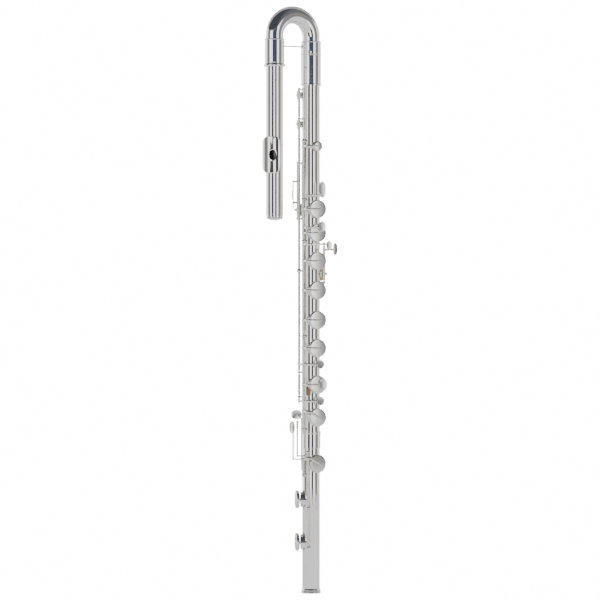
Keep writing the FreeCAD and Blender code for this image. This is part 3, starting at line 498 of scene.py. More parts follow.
# %% [markdown]
# ## Finishes
# Polished silver plate is a mirror with faint cloudy patches of handling and very fine
# hairlines from buffing along the tube. The keys are the same metal with a softer, satin
# polish. The bores are a dark, dull silver that is painted shade, for the shade inside the
# tube. Pads are skin over felt, the stopper is cork, and the needle springs are gold
# coloured wire. A flat grey metal would look like plastic, so both finishes mix two noise
# patterns: a coarse one for colour and roughness, and a stretched or fine one for the bump.


# %% Silver
def silver(name, bright, tarnish_and_painted_shade, smooth, dull, hairline, tilt=0.0):
    """Plated metal: cloudy colour and roughness, and a hairline bump along Z.

    A tilt leans the normal upwards, as the faint taper of a barrel does.
    """
    material, shade = new_material(name)
    place = shade.make("ShaderNodeTexCoord", out=3)
    clouds = shade.make("ShaderNodeTexNoise", None,
                        {"Vector": place, "Scale": 22.0, "Detail": 3.0, "Roughness": 0.6})
    marks = shade.make("ShaderNodeMapRange", None,
                       {"Value": clouds, "From Min": 0.42, "From Max": 0.72})
    stretched = shade.make("ShaderNodeMapping", None,
                           {"Vector": place, "Scale": (1800.0, 1800.0, 40.0)})
    lines_along = shade.make("ShaderNodeTexNoise", None,
                             {"Vector": stretched, "Scale": 1.0, "Detail": 2.0})
    normal = shade.make("ShaderNodeNewGeometry", out=1)
    leaning = shade.make("ShaderNodeVectorMath", {"operation": "ADD"},
                         {0: normal, 1: (0.0, 0.0, tilt)})
    bump = shade.make("ShaderNodeBump", None,
                      {"Height": lines_along, "Strength": hairline, "Distance": 0.0001,
                       "Normal": leaning})
    surface = shade.make("ShaderNodeBsdfPrincipled", None, {
        "Base Color": marks.mix(rgba(bright), rgba(tarnish_and_painted_shade)),
        "Metallic": 1.0,
        "Roughness": marks * (dull - smooth) + smooth,
        "Normal": bump})
    finish_material(shade, surface)
    return material


# %% Skin, cork, steel and brass
def plain(name, light, dark, roughness, scale, metallic=0.0, bump_depth=0.0002):
    """Matt or metallic material with a mottled colour and a grain of one size."""
    material, shade = new_material(name)
    place = shade.make("ShaderNodeTexCoord", out=3)
    mottle = shade.make("ShaderNodeTexNoise", None,
                        {"Vector": place, "Scale": scale, "Detail": 4.0, "Roughness": 0.65})
    bump = shade.make("ShaderNodeBump", None,
                      {"Height": mottle, "Strength": 0.4, "Distance": bump_depth})
    surface = shade.make("ShaderNodeBsdfPrincipled", None, {
        "Base Color": mottle.mix(rgba(light), rgba(dark)),
        "Metallic": metallic,
        "Roughness": mottle * 0.15 + (roughness - 0.07),
        "Normal": bump})
    finish_material(shade, surface)
    return material


# %% List of finishes
MATERIALS = {
    "tube_silver": silver("polished_tube_silver", (0.93, 0.925, 0.90), (0.87, 0.855, 0.82),
                          0.03, 0.07, 0.004),
    "fitting_silver": silver("polished_fitting_silver", (0.93, 0.93, 0.92), (0.88, 0.87, 0.85),
                             0.03, 0.06, 0.003, 0.010),
    "key_silver": silver("satin_key_silver", (0.88, 0.875, 0.84), (0.76, 0.75, 0.71),
                         0.16, 0.26, 0.012),
    "pad_skin": plain("pad_skin", (0.80, 0.62, 0.36), (0.66, 0.47, 0.24), 0.6, 420.0),
    "cork": plain("bumper_cork", (0.52, 0.34, 0.17), (0.27, 0.16, 0.08), 0.85, 700.0),
    "blued_steel": plain("drawn_steel", (0.42, 0.42, 0.43), (0.30, 0.30, 0.32), 0.28, 300.0,
                         metallic=1.0, bump_depth=0.00002),
    "screw_brass": plain("turned_brass", (0.86, 0.62, 0.28), (0.72, 0.48, 0.20), 0.25, 500.0,
                         metallic=1.0, bump_depth=0.00002),
    # Painted shade: a dark, dull silver that stands for the shade inside the bores.
    "bore_painted_shade": silver("painted_shade_bore", (0.26, 0.225, 0.20), (0.16, 0.13, 0.11),
                           0.35, 0.5, 0.02),
}
print("materials", len(MATERIALS))


# %% Dressing a piece
def dress(piece, body, slot, *nodes, finish=None):
    """Ride on a body, take a material slot and stand for CAD nodes."""
    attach(piece, body)
    if nodes:
        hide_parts(*nodes)
    piece.data.materials.clear()
    piece.data.materials.append(MATERIALS[finish or slot])
    return piece


# %% [markdown]
# ## Places
# Heights and hinge lines come from the frame, so that a piece drawn here lies on its CAD
# solid. An angle round the tube is counted from the side that the big cups face (-Y)
# towards the head tube (-X), as on a drawing of the tube unrolled: that is how a maker
# marks out a tube.

# %% Places
body_low, body_high = box_mm("body_tube")
foot_low, foot_high = box_mm("foot_tube")
TUBE_RADIUS = half_width("foot_tube")
TUBE_WALL = 0.6
CHIMNEY_SEAT = TUBE_RADIUS + 3.0
PAD_INSET = 0.9
SEAT_GAP = 0.15
CUP_MARGIN = 3.3
UP = np.array([0.0, 0.0, 1.0])


def polar(angle, distance):
    """Plan point at an angle round the tube and a distance from its axis."""
    bearing = math.radians(angle)
    return np.array([-math.sin(bearing) * distance, -math.cos(bearing) * distance])


def near(angle, clearance):
    """Plan point at an angle round the tube and a clearance from its surface."""
    return polar(angle, TUBE_RADIUS + clearance)


def stand(angle, height, centre=(0.0, 0.0)):
    """Move points whose third coordinate points out of the tube and second one up it."""
    outward = np.append(polar(angle, 1.0), 0.0)
    basis = np.stack([np.cross(UP, outward), UP, outward])
    origin = np.array([centre[0], centre[1], height])
    return lambda points: points @ basis + origin


# %% Hinge lines
class Rod:
    """Hinge line of a joint: its plan point, its angle round the tube and its distance."""

    def __init__(self, joint):
        self.point = np.array(joints[joint]["pos_m"][:2]) / MM
        self.angle = math.degrees(math.atan2(-self.point[0], -self.point[1]))
        self.distance = float(np.hypot(*self.point))


MAIN_ROD = Rod("d_press")
TRILL_ROD = Rod("d_trill_press")
THUMB_ROD = Rod("thumb_b_press")
SIDE_ROD = Rod("g_sharp_press")
FOOT_LONG_ROD = Rod("low_c_press")
FOOT_SHORT_ROD = Rod("foot_d_sharp_press")


def up_body(distance):
    """Height of a place given from the lower end of the body joint."""
    return body_low[2] + distance


def down_foot(distance):
    """Height of a place given down from the upper end of the foot joint."""
    return foot_high[2] - distance


# %% Tone holes
class Hole:
    """Tone hole under a pad: height from the pad's box, with its angle and radius."""

    def __init__(self, pad, angle, radius, end=None):
        low, high = box_mm(pad)
        pad_radius = radius + CUP_MARGIN - PAD_INSET
        middle = (low[2] + high[2]) / 2
        self.height = {None: middle, "low": low[2] + pad_radius, "high": high[2] - pad_radius}[end]
        self.angle = angle
        self.radius = radius
        self.cup = radius + CUP_MARGIN


LARGE, SIDE_HOLE, THUMB_HOLE, SMALL = 12.2, 9.0, 8.0, 5.0
HOLES = {
    "d": Hole("d_pad", 0, LARGE), "e": Hole("e_pad", 0, LARGE), "f": Hole("f_pad", 0, LARGE),
    "f_sharp": Hole("f_sharp_pad", 0, LARGE), "g_low": Hole("g_pad", 0, LARGE, "low"),
    "g_high": Hole("g_pad", 0, LARGE, "high"), "a": Hole("a_pad", 0, LARGE),
    "b_flat": Hole("b_flat_pad", 0, LARGE), "c": Hole("c_pad", 0, SMALL),
    "g_sharp": Hole("g_sharp_pad", -98, SIDE_HOLE), "thumb": Hole("thumb_b_pad", 168, THUMB_HOLE),
    "d_trill": Hole("d_trill_pad", 124, SMALL),
    "d_sharp_trill": Hole("d_sharp_trill_pad", 124, SMALL),
    "foot_d_sharp": Hole("foot_d_sharp_pad", 0, LARGE), "c_sharp": Hole("c_sharp_pad", 121, LARGE),
    "low_c": Hole("low_c_pad", 121, LARGE)}
FOOT_HOLES = ("foot_d_sharp", "c_sharp", "low_c")
print("hole heights", {name: round(hole.height, 1) for name, hole in HOLES.items()})

# %% [markdown]
# ## Tubes with holes
# The body is a drawn tube with a hole under every pad. Boolean cuts would leave long thin
# triangles that show as scratches in a mirror finish. So the tube is a grid of angle and
# height, with close rows beside the holes. The faces inside a hole's oval are left out and
# the points on the edge are pulled onto the oval, still on the tube. The same grid again at
# the bore radius and a strip along every free edge give the wall its thickness.


# %% Tube with holes
HOLE_BORDER, ROW_STEP, LEAST_STEP = 2.4, 1.5, 0.5
HOLE_PLAY = 0.2


def wall_shell(outer, inner, faces):
    """Points and faces of a wall between two matching surfaces, closed along every free edge."""
    sides = np.concatenate([faces[:, [k, (k + 1) % 4]] for k in range(4)])
    ordered = np.sort(sides, axis=1)
    _, first, count = np.unique(ordered, axis=0, return_index=True, return_counts=True)
    free = sides[first[count == 1]]
    number = len(outer)
    rim = np.stack([free[:, 1], free[:, 0], free[:, 0] + number, free[:, 1] + number], axis=1)
    points = np.concatenate([outer, inner])
    return points, np.concatenate([faces, faces[:, ::-1] + number, rim])


def holed_tube(name, radius, bore, low, high, openings, centre=(0.0, 0.0), around=128):
    """Tube with openings (angle, height, half width, half height): point (R cos t, R sin t, z)."""
    steps = [np.array([low, high])]
    for _, height, _, half_height in openings:
        reach = half_height + HOLE_BORDER
        steps.append(np.linspace(height - reach, height + reach, int(2 * reach / ROW_STEP)))
    heights = np.sort(np.concatenate(steps))
    heights = heights[np.concatenate([[True], np.diff(heights) > LEAST_STEP])]
    angle = np.linspace(0.0, 2 * math.pi, around, endpoint=False)
    bearing, level = np.meshgrid(angle, heights)
    points = np.stack([radius * np.cos(bearing), radius * np.sin(bearing), level], axis=-1)
    points = points.reshape(-1, 3)
    faces = grid_faces(len(heights), around, False, True)
    kept = np.ones(len(faces), bool)
    for turn_angle, height, half_width, half_height in openings:
        outward = np.append(polar(turn_angle, 1.0), 0.0)
        across = np.cross(UP, outward)
        local = points - UP * height
        u, v, w = local @ across, local[:, 2], local @ outward
        middle = np.stack([u, v, w], axis=-1)[faces].mean(axis=1)
        oval = np.hypot(middle[:, 0] / half_width, middle[:, 1] / half_height)
        inside = (oval < 1.0) & (middle[:, 2] > 0)
        kept &= ~inside
        edge = np.intersect1d(faces[inside], faces[~inside])
        reach = np.hypot(u[edge] / half_width, v[edge] / half_height)
        new_u, new_v = u[edge] / reach, v[edge] / reach
        new_w = np.sqrt(radius ** 2 - new_u ** 2)
        points[edge] = (new_u[:, None] * across + new_w[:, None] * outward
                        + UP * (new_v + height)[:, None])
    inner = points * np.array([bore / radius, bore / radius, 1.0])
    shell, shell_faces = wall_shell(points, inner, faces[kept])
    piece = new_piece(name, to_metres(shift(*centre)(shell)), shell_faces)
    turn_outwards(piece)
    print(name, "faces", len(shell_faces))
    return piece


def under_pads(keys):
    """Openings of the tone holes, a little wider than the chimneys' bores."""
    return [(HOLES[key].angle, HOLES[key].height, HOLES[key].radius + HOLE_PLAY,
             HOLES[key].radius + HOLE_PLAY) for key in keys]


# %% Body and foot tubes
BODY_HOLES = [key for key in HOLES if key not in FOOT_HOLES]
dress(holed_tube("body_tube_skin", TUBE_RADIUS, TUBE_RADIUS - TUBE_WALL, body_low[2], body_high[2],
                 under_pads(BODY_HOLES)), "body", "tube_silver", "body_tube")
dress(holed_tube("foot_tube_skin", TUBE_RADIUS, TUBE_RADIUS - TUBE_WALL, foot_low[2], foot_high[2],
                 under_pads(FOOT_HOLES)), "foot", "tube_silver", "foot_tube")

# %% [markdown]
# ## Tone hole chimneys
# Each hole has a short collar soldered round it, with a flat seat on top for the pad. A
# plain cylinder pushed into the tube would show no solder. Here the foot follows the tube
# and flares into a small fillet, so the foot of a wide collar dips at the sides: at a
# distance u across the tube, the tube's surface is at sqrt(R * R - u * u).


# %% Chimneys
def chimney_grid(hole, around=72):
    """Rows from the flared foot up to the seat and down the bore; foot height sqrt(R^2 - u^2)."""
    bearing = np.linspace(0.0, 2 * math.pi, around, endpoint=False)
    outside = hole.radius + 0.5

    def row(radius, height=None, lift=0.0):
        u, v = radius * np.cos(bearing), radius * np.sin(bearing)
        if height is None:
            height = np.sqrt(np.maximum(TUBE_RADIUS ** 2 - u ** 2, 0.0)) + lift
        else:
            height = np.full(around, height)
        return np.stack([u, v, height], axis=-1)

    flare = min(1.1, TUBE_RADIUS - outside - 0.3)
    fillet = [row(outside + share * flare, lift=lift)
              for share, lift in ((1.0, -0.15), (0.45, 0.2), (0.12, 0.75), (0.0, 1.3))]
    seat = [row(radius, CHIMNEY_SEAT - drop)
            for radius, drop in ((outside, 0.3), (outside - 0.06, 0.1), (outside - 0.16, 0.0),
                                 (hole.radius + 0.14, 0.0), (hole.radius + 0.03, 0.12),
                                 (hole.radius, 0.4))]
    rows = fillet + seat + [row(hole.radius, lift=-0.5)]
    return np.stack(rows)


def chimneys(name, body, node, keys):
    """All collars of one joint as one piece."""
    parts = Parts()
    for key in keys:
        hole = HOLES[key]
        parts.grid(stand(hole.angle, hole.height)(chimney_grid(hole)), wrap_rows=True)
    print(name, len(keys))
    return dress(parts.moved(to_metres).piece(name), body, "tube_silver", node)


chimneys("body_chimneys", "body", "body_tone_holes", BODY_HOLES)
chimneys("foot_chimneys", "foot", "foot_tone_holes", FOOT_HOLES)

# %% [markdown]
# ## Sockets, barrel and rings
# The joints of a flute plug into thin sockets that end in a raised ring, which stiffens the
# edge and gives the hand a grip. They could be stacked from separate rings, but a turner
# cuts each from one piece, so each is one profile here: outside up, inside down, with half
# sines for the beads.


# %% Turned fittings
FITTING_AROUND = 96
SLIP_FIT = 0.05


def bead(radius, low, high, rise):
    """Profile points of a rounded bead between two heights: a half sine of height rise."""
    t = np.linspace(0.0, math.pi, 9)
    return [(radius + rise * math.sin(a), low + (high - low) * a / math.pi) for a in t]


def fitting(name, node, body, outline, centre=(0.0, 0.0), slot="fitting_silver", edge=0.2):
    """Turned fitting that stands for a CAD node."""
    return dress(lathe(name, outline, centre, edge, FITTING_AROUND), body, slot, node)


# %% Foot socket
SLIP = TUBE_RADIUS + SLIP_FIT
low, high = height_range("foot_socket")
socket_radius = TUBE_RADIUS + 1.0
fitting("foot_socket_skin", "foot_socket", "foot",
        [(TUBE_RADIUS, low), (socket_radius - 0.3, low)]
        + [(socket_radius, low + 0.4), (socket_radius, high - 4.6)]
        + bead(socket_radius, high - 4.4, high - 3.2, 0.35)
        + [(socket_radius, high - 3.0), (socket_radius + 0.7, high - 3.0),
           (socket_radius + 0.7, high), (SLIP, high), (SLIP, foot_high[2]),
           (TUBE_RADIUS, foot_high[2])])

# %% Foot ring
low, high = height_range("foot_end_ring")
ring_radius = half_width("foot_end_ring")
fitting("foot_ring_skin", "foot_end_ring", "foot",
        [(TUBE_RADIUS, low), (ring_radius - 0.9, low)]
        + bead(ring_radius - 1.0, low + 0.2, low + 3.8, 1.0)
        + [(ring_radius - 1.1, low + 4.2)] + bead(ring_radius - 1.3, low + 4.4, low + 6.4, 0.45)
        + [(ring_radius - 1.4, low + 6.8), (TUBE_RADIUS + 0.3, high), (TUBE_RADIUS, high)],
        edge=0.12)

# %% Barrel
low, high = height_range("body_barrel")
TENON = 15.9
barrel_radius = 17.0
fitting("barrel_skin", "body_barrel", "body",
        [(TUBE_RADIUS, low), (barrel_radius + 0.7, low), (barrel_radius + 0.7, low + 2.2),
         (barrel_radius + 0.1, low + 2.4), (barrel_radius, low + 3.4), (barrel_radius, high - 4.2)]
        + bead(barrel_radius, high - 4.0, high - 2.4, 0.3)
        + [(barrel_radius, high - 2.2), (barrel_radius + 0.35, high - 2.0),
           (barrel_radius + 0.35, high), (TENON + SLIP_FIT, high),
           (TENON + SLIP_FIT, body_high[2]),
           (TUBE_RADIUS, body_high[2])])

# %% Tuning tenon and its ferrule
BEND_RADIUS = TUBE_RADIUS - 0.2
BEND_NODES = ("bend_body_half", "bend_head_half")
low, high = height_range("tuning_tenon")
fitting("tenon_skin", "tuning_tenon", "crook", wall(TENON, BEND_RADIUS, low, high),
        slot="tube_silver")
bend_low, bend_high = box_mm(BEND_NODES[0])
low, high = height_range("tuning_ferrule")
fitting("ferrule_skin", "tuning_ferrule", "crook",
        [(TENON, low), (barrel_radius + 0.1, low), (barrel_radius + 0.1, low + 1.8),
         (barrel_radius, low + 2.0), (barrel_radius, high - 2.2)]
        + bead(barrel_radius - 0.1, high - 2.1, high - 0.5, 0.45)
        + [(barrel_radius - 0.4, high), (BEND_RADIUS, high), (BEND_RADIUS, bend_low[2] - 1.0),
           (TENON, bend_low[2] - 1.0)])

# %% Socket for the head tube
head_low, head_high = box_mm("head_tube")
HEAD_AXIS = ((head_low[0] + head_high[0]) / 2, 0.0)
HEAD_RADIUS = half_width("head_tube")
low, high = height_range("head_socket")
head_socket_radius = 16.6
fitting("head_socket_skin", "head_socket", "crook",
        [(HEAD_RADIUS + SLIP_FIT, low), (head_socket_radius + 1.2, low)]
        + bead(head_socket_radius + 1.1, low + 0.3, low + 4.6, 0.6)
        + [(head_socket_radius + 1.1, low + 4.9), (head_socket_radius - 0.35, low + 5.3),
           (head_socket_radius - 0.35, low + 6.4), (head_socket_radius, low + 6.6),
           (head_socket_radius, high - 2.2)]
        + bead(head_socket_radius - 0.1, high - 2.0, high - 0.4, 0.45)
        + [(head_socket_radius - 0.4, high), (BEND_RADIUS, high), (BEND_RADIUS, bend_low[2] - 1.5),
           (HEAD_RADIUS + SLIP_FIT, bend_low[2] - 1.5)], HEAD_AXIS)
print("foot ring radius", round(ring_radius, 2), "head tube radius", round(HEAD_RADIUS, 2))

# %% [markdown]
# ## The bend
# The bend is a tube carried along a path: straight up, round half a circle, straight down.
# A curve with a bevel would draw it too, but its wall and its seam would then need
# modifiers. With s along the path and t round it, a point is path(s) + R (cos t * side +
# sin t * (0, 1, 0)). A thin raised line at the top is the seam where its two halves meet.


# %% The bend
LEG_ROWS, ARC_ROWS = 4, 97
SEAM_RISE, SEAM_WIDTH = 0.12, 0.018


def bend_shell(radius_at, bore, spring, ends, spacing, around=96):
    """Outer and inner grids of the U, whose outer radius changes along the path."""
    leg = np.linspace(0.0, spring - ends, LEG_ROWS + 1)[:-1]
    arc = np.linspace(0.0, math.pi, ARC_ROWS)
    spread = spacing / 2
    x = np.concatenate([np.full(LEG_ROWS, spread), spread * np.cos(arc),
                        np.full(LEG_ROWS, -spread)])
    z = np.concatenate([ends + leg, spring + spread * np.sin(arc), ends + leg[::-1]])
    angle = np.concatenate([np.zeros(LEG_ROWS), arc, np.full(LEG_ROWS, math.pi)])
    side = np.stack([np.cos(angle), np.zeros_like(angle), np.sin(angle)], axis=-1)
    middle = np.stack([x - spread, np.zeros_like(x), z], axis=-1)
    t = np.linspace(0.0, 2 * math.pi, around, endpoint=False)
    ring = (np.cos(t)[None, :, None] * side[:, None, :]
            + np.sin(t)[None, :, None] * np.array([0.0, 1.0, 0.0]))
    outer = middle[:, None, :] + ring * radius_at(angle)[:, None, None]
    inner = middle[:, None, :] + ring * bore
    return outer.reshape(-1, 3), inner.reshape(-1, 3), grid_faces(len(x), around, False, True)


def seam(angle):
    """Radius of the bend, with a bell curve of solder standing proud at the top."""
    return BEND_RADIUS + SEAM_RISE * np.exp(-((angle - math.pi / 2) / SEAM_WIDTH) ** 2)


LEG_SPACING = -HEAD_AXIS[0]
BEND_SPRING = bend_high[2] - BEND_RADIUS - LEG_SPACING / 2
shell, faces = wall_shell(*bend_shell(seam, BEND_RADIUS - TUBE_WALL, BEND_SPRING, bend_low[2],
                                      LEG_SPACING))
bend = new_piece("bend_skin", to_metres(shell), faces)
turn_outwards(bend)
dress(bend, "crook", "tube_silver", *BEND_NODES, finish="fitting_silver")
print("bend rises to", round(bend_high[2], 1))


# %% [markdown]
# ## Swept rods and blades
# Levers, arms and wires are a rounded section carried along a path. Blender's curves can do
# this with a bevel and a taper, but not with a width and a thickness that change apart. The
# section is the oval (a cos t, b sin t) pushed towards a rectangle by a power, with a
# across the path in plan and b up the tube, and both may change along the path so that an
# arm can run out to a point.

# %% Sweeps
def smooth_path(corners, radius=3.0, spacing=0.8):
    """Line through corners, rounded at each one and then divided into equal steps."""
    points = rounded(corners, radius, 9, closed=False)
    lengths = np.concatenate([[0.0], np.cumsum(np.linalg.norm(np.diff(points, axis=0), axis=1))])
    keep = np.concatenate([[True], np.diff(lengths) > 1e-6])
    points, lengths = points[keep], lengths[keep]
    even = np.linspace(0.0, lengths[-1], max(6, int(lengths[-1] / spacing)))
    return np.stack([np.interp(even, lengths, points[:, k]) for k in range(3)], axis=-1)


def ends_round(values):
    """Half sizes with a rounded nose at both ends: about a quarter circle in three steps."""
    nose = np.array([0.05, 0.55, 0.85])
    return np.concatenate([values[0] * nose, values, values[-1] * nose[::-1]])


def squared_circle(t, power):
    """Cosine and sine of t with their sizes raised to a power; one below 1 squares the circle."""
    c, s = np.cos(t), np.sin(t)
    return np.sign(c) * np.abs(c) ** power, np.sign(s) * np.abs(s) ** power


def sweep(path, across, along, around=16, power=0.75):
    """Grid of an oval section of half sizes across and along, carried along a path."""
    path = np.asarray(path, float)
    count = len(path)
    across = np.broadcast_to(np.asarray(across, float), (count,))
    along = np.broadcast_to(np.asarray(along, float), (count,))
    tangent = np.gradient(path, axis=0)
    tangent /= np.linalg.norm(tangent, axis=1)[:, None]
    upright = np.abs(tangent[:, 2]).mean() > 0.8
    guide = np.array([0.0, 1.0, 0.0]) if upright else UP
    side = np.cross(guide, tangent)
    side /= np.linalg.norm(side, axis=1)[:, None]
    up = np.cross(tangent, side)
    reach = np.array([1.0, 0.7, 0.3])
    size_a, size_b = min(across[0], along[0]), min(across[-1], along[-1])
    start = path[0] - tangent[0] * (reach * size_a)[:, None]
    finish = path[-1] + tangent[-1] * (reach[::-1] * size_b)[:, None]
    path = np.concatenate([start, path, finish])
    side = np.concatenate([side[:1].repeat(3, 0), side, side[-1:].repeat(3, 0)])
    up = np.concatenate([up[:1].repeat(3, 0), up, up[-1:].repeat(3, 0)])
    across, along = ends_round(across), ends_round(along)
    t = np.linspace(0.0, 2 * math.pi, around, endpoint=False)
    cos_t, sin_t = squared_circle(t, power)
    return (path[:, None, :] + (across[:, None] * cos_t)[..., None] * side[:, None, :]
            + (along[:, None] * sin_t)[..., None] * up[:, None, :])


def rod_grid(start, finish, radius, around=20):
    """Grid of a straight round rod with rounded ends."""
    path = np.linspace(np.asarray(start, float), np.asarray(finish, float), 6)
    return sweep(path, radius, radius, around, 1.0)


# %% [markdown]
# ## The brace
# A thin rod keeps the two legs of the crook from being squeezed together. It is waisted,
# and a small turned flange spreads its solder joint on each leg. Rod and flanges are one
# piece, because they never come apart.

# %% Brace between the legs
BRACE_ROWS = 41
brace_low, brace_high = box_mm("crook_brace")
brace_z = (brace_low[2] + brace_high[2]) / 2
brace_line = np.linspace([brace_low[0] - 0.4, 0.0, brace_z], [brace_high[0] + 0.4, 0.0, brace_z],
                         BRACE_ROWS)
waist = 1.25 + 0.55 * np.abs(np.linspace(-1.0, 1.0, BRACE_ROWS)) ** 6
brace = Parts().grid(sweep(brace_line, waist, waist, 24, 1.0), caps=True)
flange = lathe_grid([(0.05, 0.0), (3.1, 0.0), (3.0, 0.5), (2.2, 0.9), (1.6, 1.6), (1.45, 2.6)], 32)
for x, sense in ((brace_low[0], 1.0), (brace_high[0], -1.0)):
    turned = np.stack([x + sense * (flange[..., 2] - 0.3), flange[..., 0],
                       brace_z + flange[..., 1]], axis=-1)
    brace.grid(turned, caps=True)
dress(brace.moved(to_metres).piece("brace_skin"), "crook", "tube_silver", "crook_brace")
print("brace at height", round(brace_z, 1))

# %% [markdown]
# ## Head tube, riser and lip plate
# The blow hole is an oval in a plate that the lower lip rests on, and both face the player,
# between the cups and the side. The riser is the hole's short wall. A flat plate bent by a
# modifier would pull the hole out of shape, so each ring of points is bent by formula. The
# lip plate is a bent sheet: at a distance u across, its height is sqrt(P * P - u * u) less
# the offset of its centre, where P is its own larger radius.

# %% Head tube
HOLE_HALF_WIDTH, HOLE_HALF_HEIGHT = 6.2, 8.2
LIP_ANGLE = 42.5
lip_low, lip_high = box_mm("lip_plate")
LIP_HEIGHT = (lip_low[2] + lip_high[2]) / 2
LIP_HALF_HEIGHT = (lip_high[2] - lip_low[2]) / 2
head_tube = dress(
    holed_tube("head_tube_skin", HEAD_RADIUS, HEAD_RADIUS - TUBE_WALL, head_low[2], head_high[2],
               [(LIP_ANGLE, LIP_HEIGHT, HOLE_HALF_WIDTH, HOLE_HALF_HEIGHT)], HEAD_AXIS),
    "head", "tube_silver", "head_tube")

PLATE_OFFSET = 4.5
PLATE_RADIUS = HEAD_RADIUS + 5.0 + PLATE_OFFSET
CHIN_SIDE, FAR_SIDE = 19.5, 12.5


def plate_height(u):
    """Height of the lip plate's underside at a distance u across it."""
    return np.sqrt(PLATE_RADIUS ** 2 - u ** 2) - PLATE_OFFSET


def oval_ring(t, half_width, half_height):
    """Points (u, v) of the blow hole's oval."""
    return half_width * np.cos(t), half_height * np.sin(t)


def plate_edge(t):
    """Rounded rectangle round the hole: a superellipse, wider on the chin side."""
    cos_t, sin_t = squared_circle(t, 2.0 / 5.0)
    return cos_t * np.where(cos_t < 0, CHIN_SIDE, FAR_SIDE), sin_t * LIP_HALF_HEIGHT


t = np.linspace(0.0, 2 * math.pi, 144, endpoint=False)
edge_u, edge_v = plate_edge(t)
hole_u, hole_v = oval_ring(t, HOLE_HALF_WIDTH, HOLE_HALF_HEIGHT)


def plate_row(share, lift):
    """Ring of points at a share of the way from the hole to the edge, lifted off the underside."""
    u = hole_u + (edge_u - hole_u) * share
    v = hole_v + (edge_v - hole_v) * share
    return np.stack([u, v, plate_height(u) + lift], axis=-1)


# %% Lip plate
THICK = 0.9
shares = np.linspace(0.06, 0.965, 16)
plate_rows = [plate_row(0.0, 0.1), plate_row(0.004, THICK - 0.35), plate_row(0.025, THICK - 0.08)]
plate_rows += [plate_row(share, THICK) for share in shares]
plate_rows += [plate_row(0.987, THICK - 0.1), plate_row(1.0, THICK * 0.5), plate_row(0.987, 0.1)]
plate_rows += [plate_row(share, 0.0) for share in shares[::-1]]
lip_place = stand(LIP_ANGLE, LIP_HEIGHT, HEAD_AXIS)
plate = Parts().grid(lip_place(np.stack(plate_rows)), wrap_rows=True)
dress(plate.moved(to_metres).piece("lip_plate_skin"), "head", "fitting_silver", "lip_plate")

# %% Riser
riser_rows = []
for grow, level in ((1.5, None), (1.5, 0.0), (0.0, 0.0), (-0.05, None)):
    u, v = oval_ring(t, HOLE_HALF_WIDTH + grow, HOLE_HALF_HEIGHT + grow)
    on_tube = np.sqrt(HEAD_RADIUS ** 2 - u ** 2) - 0.1
    under_plate = plate_height(u) + 0.2
    riser_rows.append(np.stack([u, v, on_tube if level is None else under_plate], axis=-1))
riser = Parts().grid(lip_place(np.stack(riser_rows)), wrap_rows=True)
riser = dress(riser.moved(to_metres).piece("riser_skin"), "head", "tube_silver",
              "embouchure_riser")


# %% [markdown]
# ## Painted shade inside
# Little light gets into a head tube, and through the blow hole its inside looks nearly
# black. That shade is painted: a second material slot on the same mesh, a dark silver, goes
# to the faces that look at the axis instead of away from it.

# %% Painted shade inside
FACING_IN = -0.3


def tarnish_and_painted_shade(piece, point, axis):
    """Give the faces that look at an axis, through a point in millimetres, the painted shade."""
    piece.data.materials.append(MATERIALS["bore_painted_shade"])
    for face in piece.data.polygons:
        away = np.array(face.center) - np.asarray(point) * MM
        away -= np.asarray(axis) * np.dot(away, axis)
        if np.dot(away, np.array(face.normal)) < FACING_IN * np.linalg.norm(away):
            face.material_index = 1


# Painted shade on the inner faces of the head tube and of the riser.
tarnish_and_painted_shade(head_tube, (*HEAD_AXIS, 0.0), (0.0, 0.0, 1.0))
tarnish_and_painted_shade(riser, (*HEAD_AXIS, LIP_HEIGHT), polar(LIP_ANGLE, 1.0).tolist() + [0.0])
print("blow hole at height", round(LIP_HEIGHT, 1))

# %% [markdown]
# ## Crown and stopper
# The crown is a turned cap with a shallow dome and a bead. Behind it, out of sight, a cork
# stopper on a screw closes the tube and tunes the octaves. The thread is drawn as plain
# rings: a real helix would need a mesh of its own, and the screw is never seen.

# %% Crown and stopper
low, high = height_range("crown")
crown_radius = half_width("crown")
SPIGOT = HEAD_RADIUS - TUBE_WALL - SLIP_FIT
SCREW, PITCH, THREAD_DEPTH = 3.0, 0.8, 0.35
rim_height = head_low[2] - 0.3
dome = [(crown_radius * 0.62 * math.sin(a), low + 1.1 * (1 - math.cos(a)))
        for a in np.linspace(0.02, math.pi / 2, 9)]
fitting("crown_skin", "crown", "crown",
        dome + [(crown_radius * 0.9, low + 2.0), (crown_radius, low + 3.6)]
        + [(crown_radius, low + 4.0), (crown_radius - 0.5, low + 4.4),
           (crown_radius - 0.5, low + 5.2), (crown_radius, low + 5.6),
           (crown_radius, rim_height), (SPIGOT, rim_height),
           (SPIGOT, high), (SCREW + 0.05, high), (SCREW + 0.05, low + 2.5), (0.3, low + 2.5)],
        HEAD_AXIS, edge=0.25)

# %% Stopper screw and cork
low, high = height_range("stopper_screw")
cork_low, cork_high = height_range("stopper_cork")
thread_outline = []
for height in np.arange(low + 1.0, cork_low - 2.5, PITCH):
    thread_outline += [(SCREW, height), (SCREW - THREAD_DEPTH, height + PITCH / 2)]
fitting("stopper_screw_skin", "stopper_screw", "stopper",
        [(0.3, low), (SCREW, low)] + thread_outline
        + [(SCREW, cork_low - 1.5), (SPIGOT - 0.3, cork_low - 1.5), (SPIGOT - 0.3, cork_low),
           (SCREW, cork_low), (SCREW, cork_high), (SPIGOT - 0.3, cork_high), (SPIGOT - 0.3, high),
           (0.3, high)], HEAD_AXIS, "screw_brass", 0.1)
fitting("stopper_cork_skin", "stopper_cork", "stopper", wall(SPIGOT, SCREW, cork_low, cork_high),
        HEAD_AXIS, "cork", 0.4)
print("crown radius", round(crown_radius, 2))

